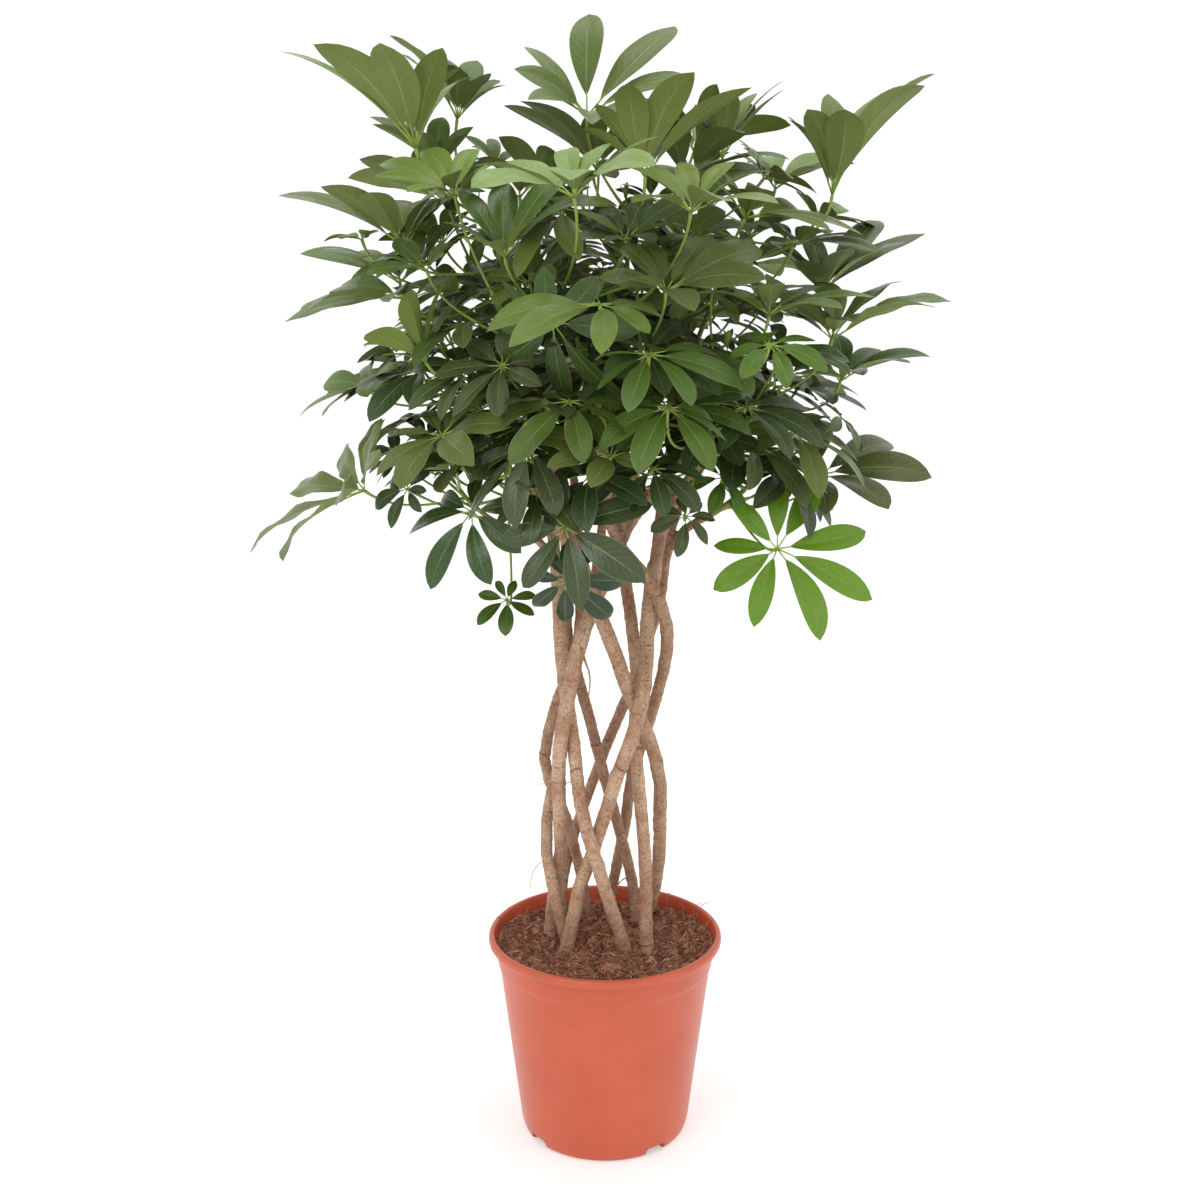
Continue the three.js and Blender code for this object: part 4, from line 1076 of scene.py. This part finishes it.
def addLeaflet(weave, start, tip, face, form, chance, marks, wave=0.0, wide=1.0):
    # One leaflet on its own little stalk, from the hub to the tip.
    length = (tip - start).length
    chord = (tip - start).normalized()
    over = (face - chord * face.dot(chord)).normalized()
    lift = math.radians(form["lift"])
    droop = math.radians(form["droop"] + chance.uniform(*form["droopVaries"]))
    leave = chord * math.cos(lift) + over * math.sin(lift)
    arrive = chord * math.cos(droop) - over * math.sin(droop)
    neck = form["stalklet"] * chance.uniform(0.85, 1.15)
    steps = form["spineSteps"]
    line = bentLine(start, start + leave * length * 0.36, tip - arrive * length * 0.3, tip, steps + 1)
    side = np.array(over.cross(chord))
    sway = chance.uniform(-form["sway"], form["sway"]) * length
    line = line + (np.sin(np.linspace(0, math.pi, steps + 1)) * sway)[:, None] * side
    along, across, under, faces, kinds = pattern
    t = neck + (1 - neck) * along
    index = t * steps
    low = np.minimum(index.astype(int), steps - 1)
    part = (index - low)[:, None]
    spine = line[low] * (1 - part) + line[low + 1] * part
    heading = np.gradient(line, axis=0)
    heading /= np.linalg.norm(heading, axis=1)[:, None]
    heading = heading[low] * (1 - part) + heading[low + 1] * part
    twist = math.radians(chance.uniform(-form["twist"], form["twist"]))
    tilted = side * math.cos(twist) + np.array(over) * math.sin(twist)
    sideways = tilted - heading * (heading @ tilted)[:, None]
    sideways /= np.linalg.norm(sideways, axis=1)[:, None]
    upward = np.cross(heading, sideways)
    if upward[len(upward) // 2] @ np.array(over) < 0:
        upward = -upward
    a, b = form["widest"][0], chance.uniform(*form["widest"][1])
    peak = (a / (a + b)) ** a * (b / (a + b)) ** b
    shape = np.clip(along, 0.004, 1) ** a * np.clip(1 - along, 0.0015, 1) ** b / peak
    half = form["halfWidth"] * wide * chance.uniform(0.9, 1.08) * length * (1 - neck) * shape
    fold = math.radians(form["fold"] + chance.uniform(*form["foldVaries"])) * (1 - 0.6 * along)
    ripple = wave * length * np.sin(2 * math.pi * (along * 2.2 + 0.2 * np.sign(across) + chance.random()))
    rise = half * (np.abs(across) * np.sin(fold) - form["curl"] * across ** 2)
    rise = rise + ripple * np.abs(across) ** 1.5 * shape
    blade = form["blade"] * np.sqrt(np.clip(1 - across ** 2, 0, 1)) * (0.55 + 0.45 * shape)
    rib = form["rib"] * np.exp(-(across / form["ribWide"]) ** 2) * (1 - 0.7 * along)
    rise = rise - under * (blade + rib) - (1 - under) * rib * 0.35
    points = spine + sideways * (half * across * np.cos(fold))[:, None] + upward * rise[:, None]
    # the pattern's faces are wound for a right-handed sideways, heading, upward
    right = np.dot(np.cross(sideways[0], heading[0]), upward[0]) > 0
    wound = faces if right else [list(reversed(f)) for f in faces]
    weave.add(points, wound, kinds, uvAlong=along, uvAcross=(across + 1) / 2, **marks)
    reach = int(math.ceil((neck + 0.05) * steps)) + 1
    stem = line[:reach] - np.outer(np.linspace(0, 1, reach) ** 2, upward[0]) * 0.0004
    widths = np.linspace(0.00085, 0.0006, reach) * (0.6 + length * 5)
    skip = 2 if reach > 6 else 1
    weave.add(*ringsAlong(stem[::skip], widths[::skip], 5), 2, **marks)


def tipOf(hub, face, ahead, turn, slope, long):  # where a leaflet ends that is turned so far from the longest
    way = ahead * math.cos(turn) + face.cross(ahead) * math.sin(turn)
    return hub + (way * math.cos(slope) + face * math.sin(slope)) * long


def addUmbrella(weave, hub, face, tips, foot, form, chance, marks, wave=0.0):
    # A whole leaf: a ring of leaflets round the hub, and the long stalk down to the twig.
    out = [tip - hub for tip in tips]
    longest = max(out, key=lambda v: v.length)
    ahead = (longest - face * longest.dot(face)).normalized()
    size = sum(v.length for v in out) / len(out) / 0.8
    cup = math.asin(max(-0.95, min(0.95, sum(v.normalized().dot(face) for v in out) / len(out))))
    count = max(len(tips), form["leaflets"] if size > form["small"] else form["smallLeaflets"])
    for i in range(count):
        turn = 2 * math.pi * i / count + (chance.uniform(*form["turnVaries"]) if i else 0)
        long = size * (0.8 + 0.2 * math.cos(turn)) * (chance.uniform(*form["longVaries"]) if i else 1)
        slope = cup + (chance.uniform(*form["slopeVaries"]) if i else 0)
        tip = tipOf(hub, face, ahead, turn, slope, long)
        addLeaflet(weave, hub + face * 0.0004, tip, face, form, chance, marks, wave, 7.9 / max(count, 7))
    knob = bmesh.new()
    bmesh.ops.create_icosphere(knob, subdivisions=1, radius=form["knob"])
    points = [hub + v.co - face * 0.0004 for v in knob.verts]
    weave.add(points, [[v.index for v in f.verts] for f in knob.faces], 2, **marks)
    knob.free()
    reach = (hub - foot).length
    path = bentLine(foot, foot + (hub - face * reach * 0.4 - foot) * 0.66,
                    hub - face * reach * 0.27, hub - face * 0.0003, form["stalkSteps"])
    t = np.linspace(0, 1, form["stalkSteps"])
    widths = form["stalk"] * (1 + 0.12 * np.cos(6 * t)) + (form["foot"] - form["stalk"]) * np.exp(-t * 14)
    widths = widths + 0.0003 * np.exp(-(1 - t) * 22)
    weave.add(*ringsAlong(path, widths, form["stalkSides"]), 2, **marks)


def leafMarks(hub, fresh, cool, form, chance):  # painted light: leaves are lit more high up and on the outside of the crown, and lie in painted shade inside and low down
    outside = (math.hypot(hub.x, hub.y) - form["darkWithin"]) / form["darkWithin"]
    high = (hub.z - form["darkBelow"]) / form["lightOver"]
    light = 0.6 * outside + 0.75 * high + chance.uniform(*form["lightVaries"])
    light = max(0.0, min(1.0, light)) * (1 - cool)
    return {"fresh": fresh, "cool": cool, "light": light, "variety": chance.random()}


def growInside(twigs, hubs, plan):
    # Chooses the inner leaves of each twig in turn: the place, of several, with the most room.
    chance = random.Random(29)
    taken = list(hubs)
    grown = {name: [] for name in twigs}
    for _ in range(plan["each"]):
        for name, axis in twigs.items():
            best, room = None, plan["room"]
            for _ in range(plan["tries"]):
                at = chance.uniform(*plan["from"]) * (len(axis) - 1)
                foot = Vector(axis[int(at)]).lerp(Vector(axis[min(int(at) + 1, len(axis) - 1)]), at % 1)
                turn = chance.uniform(0, 2 * math.pi)
                way = Vector((math.cos(turn), math.sin(turn), chance.uniform(*plan["climb"]))).normalized()
                hub = foot + way * chance.uniform(*plan["stalk"])
                away = math.hypot(hub.x, hub.y - plan["middle"])
                raised = max(0.0, 1 - away / plan["hollowWide"])
                under = plan["bottom"] + (plan["hollow"] - plan["bottom"]) * raised
                if away > plan["width"] or not under < hub.z < plan["top"]:
                    continue
                free = min((hub - other).length for other in taken)
                if free > room:
                    best, room = (foot, hub), free
            if best:
                taken.append(best[1])
                grown[name].append(best)
    return grown


def addInner(weave, foot, hub, plan, form, chance):
    face = Vector((hub.x, hub.y, 0)).normalized() * chance.uniform(0.1, 0.6)
    face = (face + Vector((chance.uniform(-0.3, 0.3), chance.uniform(-0.4, 0.2), 1))).normalized()
    ahead = (hub - foot).normalized()
    ahead = (ahead - face * ahead.dot(face)).normalized()
    size, cup = chance.uniform(*plan["size"]), math.radians(chance.uniform(*plan["cup"]))
    turns = [2 * math.pi * k / plan["leaflets"] for k in range(plan["leaflets"])]
    tips = [tipOf(hub, face, ahead, turn, cup, size * (0.8 + 0.2 * math.cos(turn))) for turn in turns]
    marks = leafMarks(hub, 0.0, 0.4 * chance.random(), form, chance)
    addUmbrella(weave, hub, face, tips, foot, form, chance, marks)


def pickedAmount(table, hub, form, drawn):  # what is set for the leaf seen at a pixel, or else a drawn amount
    px, py = pixelOf(hub)
    found = [amount for (x, y), amount in table.items()
             if math.hypot(px - x, py - y) < form["pickWithin"] and hub.y < form["pickDeepest"]]
    return max(found) if found else drawn()


def addOuter(weave, leaf, form, chance):
    hub, face, middle = leaf["hub"], leaf["face"], leaf["middle"]
    span = 2 * (hub - middle).length
    for _ in range(6):  # the stalk's foot follows from its hub and its middle
        foot = 4 * middle - 3 * hub + 0.8 * span * face
        span = (hub - foot).length
    fresh = pickedAmount(form["freshAt"], hub, form, lambda: chance.random() ** 4 * 0.3)
    cool = pickedAmount(form["coolAt"], hub, form, lambda: chance.random() ** 3 * 0.5 * (hub.z < 0.86))
    marks = leafMarks(hub, fresh, cool, form, chance)
    # painted shade: the picked leaves lose part of their painted light
    marks["light"] *= 1 - pickedAmount(form["paintedShadeAt"], hub, form, lambda: chance.random() ** 3 * 0.6)
    wave = pickedAmount(form["wavyAt"], hub, form, lambda: chance.random() ** 3 * 0.014)
    addUmbrella(weave, hub, face, leaf["tips"], foot, form, chance, marks, wave)


def addTwig(weave, twigPoints, form, steps=44, sides=12):
    middles, widths = twigAxis(twigPoints, form)
    start = Vector(middles[0]) - (Vector(middles[1]) - Vector(middles[0])).normalized() * 0.005
    middles = [np.array(start)] + middles
    widths = [widths[0] * 0.96] + widths
    gaps = [np.linalg.norm(b - a) for a, b in zip(middles, middles[1:])]
    lengths = np.concatenate([[0], np.cumsum(gaps)])
    at = np.linspace(0, lengths[-1], steps)
    path = np.stack([np.interp(at, lengths, [m[i] for m in middles]) for i in range(3)], 1)
    for _ in range(4):
        path[1:-1] = path[1:-1] * 0.5 + (path[:-2] + path[2:]) * 0.25
    girth = np.interp(at, lengths, widths) * 0.93
    girth = girth * (1 + 0.07 * np.maximum(0, np.sin(at / 0.011 * 2 * math.pi)) ** 3)  # a joint every 11 mm
    girth[-1] *= 0.55
    marks = {"along": np.repeat(at, sides), "age": np.repeat(1 - at / at[-1], sides)}
    weave.add(*ringsAlong(path, girth, sides), 3, **marks)
    return path


def addBud(weave, path, form, chance):  # folded young leaflets that stand up from the twig's tip
    top, heading = Vector(path[-1]), Vector(path[-1] - path[-3]).normalized()
    # the bud gets full painted light
    marks = {"fresh": 0.7, "cool": 0.0, "light": 1.0, "variety": 0.3}
    for k in range(3):
        turn = k * 2.1 + chance.random()
        lean = (heading + Vector((math.cos(turn), math.sin(turn), 0)) * 0.28).normalized()
        tip = top + lean * chance.uniform(*form["bud"])
        outward = lean.cross(Vector((-math.sin(turn), math.cos(turn), 0))).normalized()
        addLeaflet(weave, top - heading * 0.002, tip, outward, form, chance, marks, 0.0, 0.8)


def mapLeaves(mesh):  # moves the places on the leaflets from marks on the points to the leaf map
    corner = np.empty(len(mesh.loops), int)
    mesh.loops.foreach_get("vertex_index", corner)
    layer = mesh.uv_layers.new(name="leafMap")
    uv = []
    for axis in ("uvAlong", "uvAcross"):
        values = np.empty(len(mesh.vertices), np.float32)
        mesh.attributes[axis].data.foreach_get("value", values)
        uv.append(values[corner])
        mesh.attributes.remove(mesh.attributes[axis])
    layer.data.foreach_set("uv", np.stack(uv, 1).ravel())


def makeShoot(name, form):
    leaves, twigPoints = shootReadings[name]
    chance = random.Random(7 * sum(map(ord, name)))
    weave = Weave()
    for leaf in leaves:
        addOuter(weave, leaf, form, chance)
    for foot, hub in innerLeaves[name]:
        addInner(weave, foot, hub, innerPlan, form, chance)
    path = addTwig(weave, twigPoints, form)
    addBud(weave, path, form, chance)
    mesh = weave.mesh("leafy_" + name, creases=True)
    mapLeaves(mesh)
    addPiece("leafy_" + name, mesh, [leafTop, leafUnder, leafStalk, shootBark], [name])
    return len(leaves)


shootNames = sorted(name for name in nodes if name.startswith("shoot_"))
shootReadings = {name: readShoot(nodes[name].data, leafForm) for name in shootNames}
twigLines = {name: twigAxis(twig, leafForm)[0] for name, (_, twig) in shootReadings.items()}
leafHubs = [leaf["hub"] for leaves, _ in shootReadings.values() for leaf in leaves]
innerLeaves = growInside(twigLines, leafHubs, innerPlan)
print("inner leaves placed:", sum(len(found) for found in innerLeaves.values()))
leafTotal = sum(makeShoot(name, leafForm) for name in shootNames)
print("shoots in leaf:", len(shootNames), "with", leafTotal, "umbrella leaves")


# the floor

def makeFloor(plan):
    work = bmesh.new()
    bmesh.ops.create_grid(work, x_segments=4, y_segments=4, size=plan["floorReach"])
    floor = laidOut("studioFloor", meshFrom(work, "studioFloor"))
    material, tree, shader = newMaterial("floorPaper", Roughness=0.9, Specular_IOR_Level=0.1,
                                         Emission_Color=(1, 1, 1, 1), Emission_Strength=plan["glow"])
    cloud = cloudMask(tree, 0.4, 0.3, 0.7)
    tree.links.new(blendColour(tree, cloud, *plan["paper"]), shader.inputs["Base Color"])
    floor.data.materials.append(material)
    floor.location.z = -plan["floorDrop"]


makeFloor(studioPlan)
print("floor laid")

bpy.context.view_layer.update()
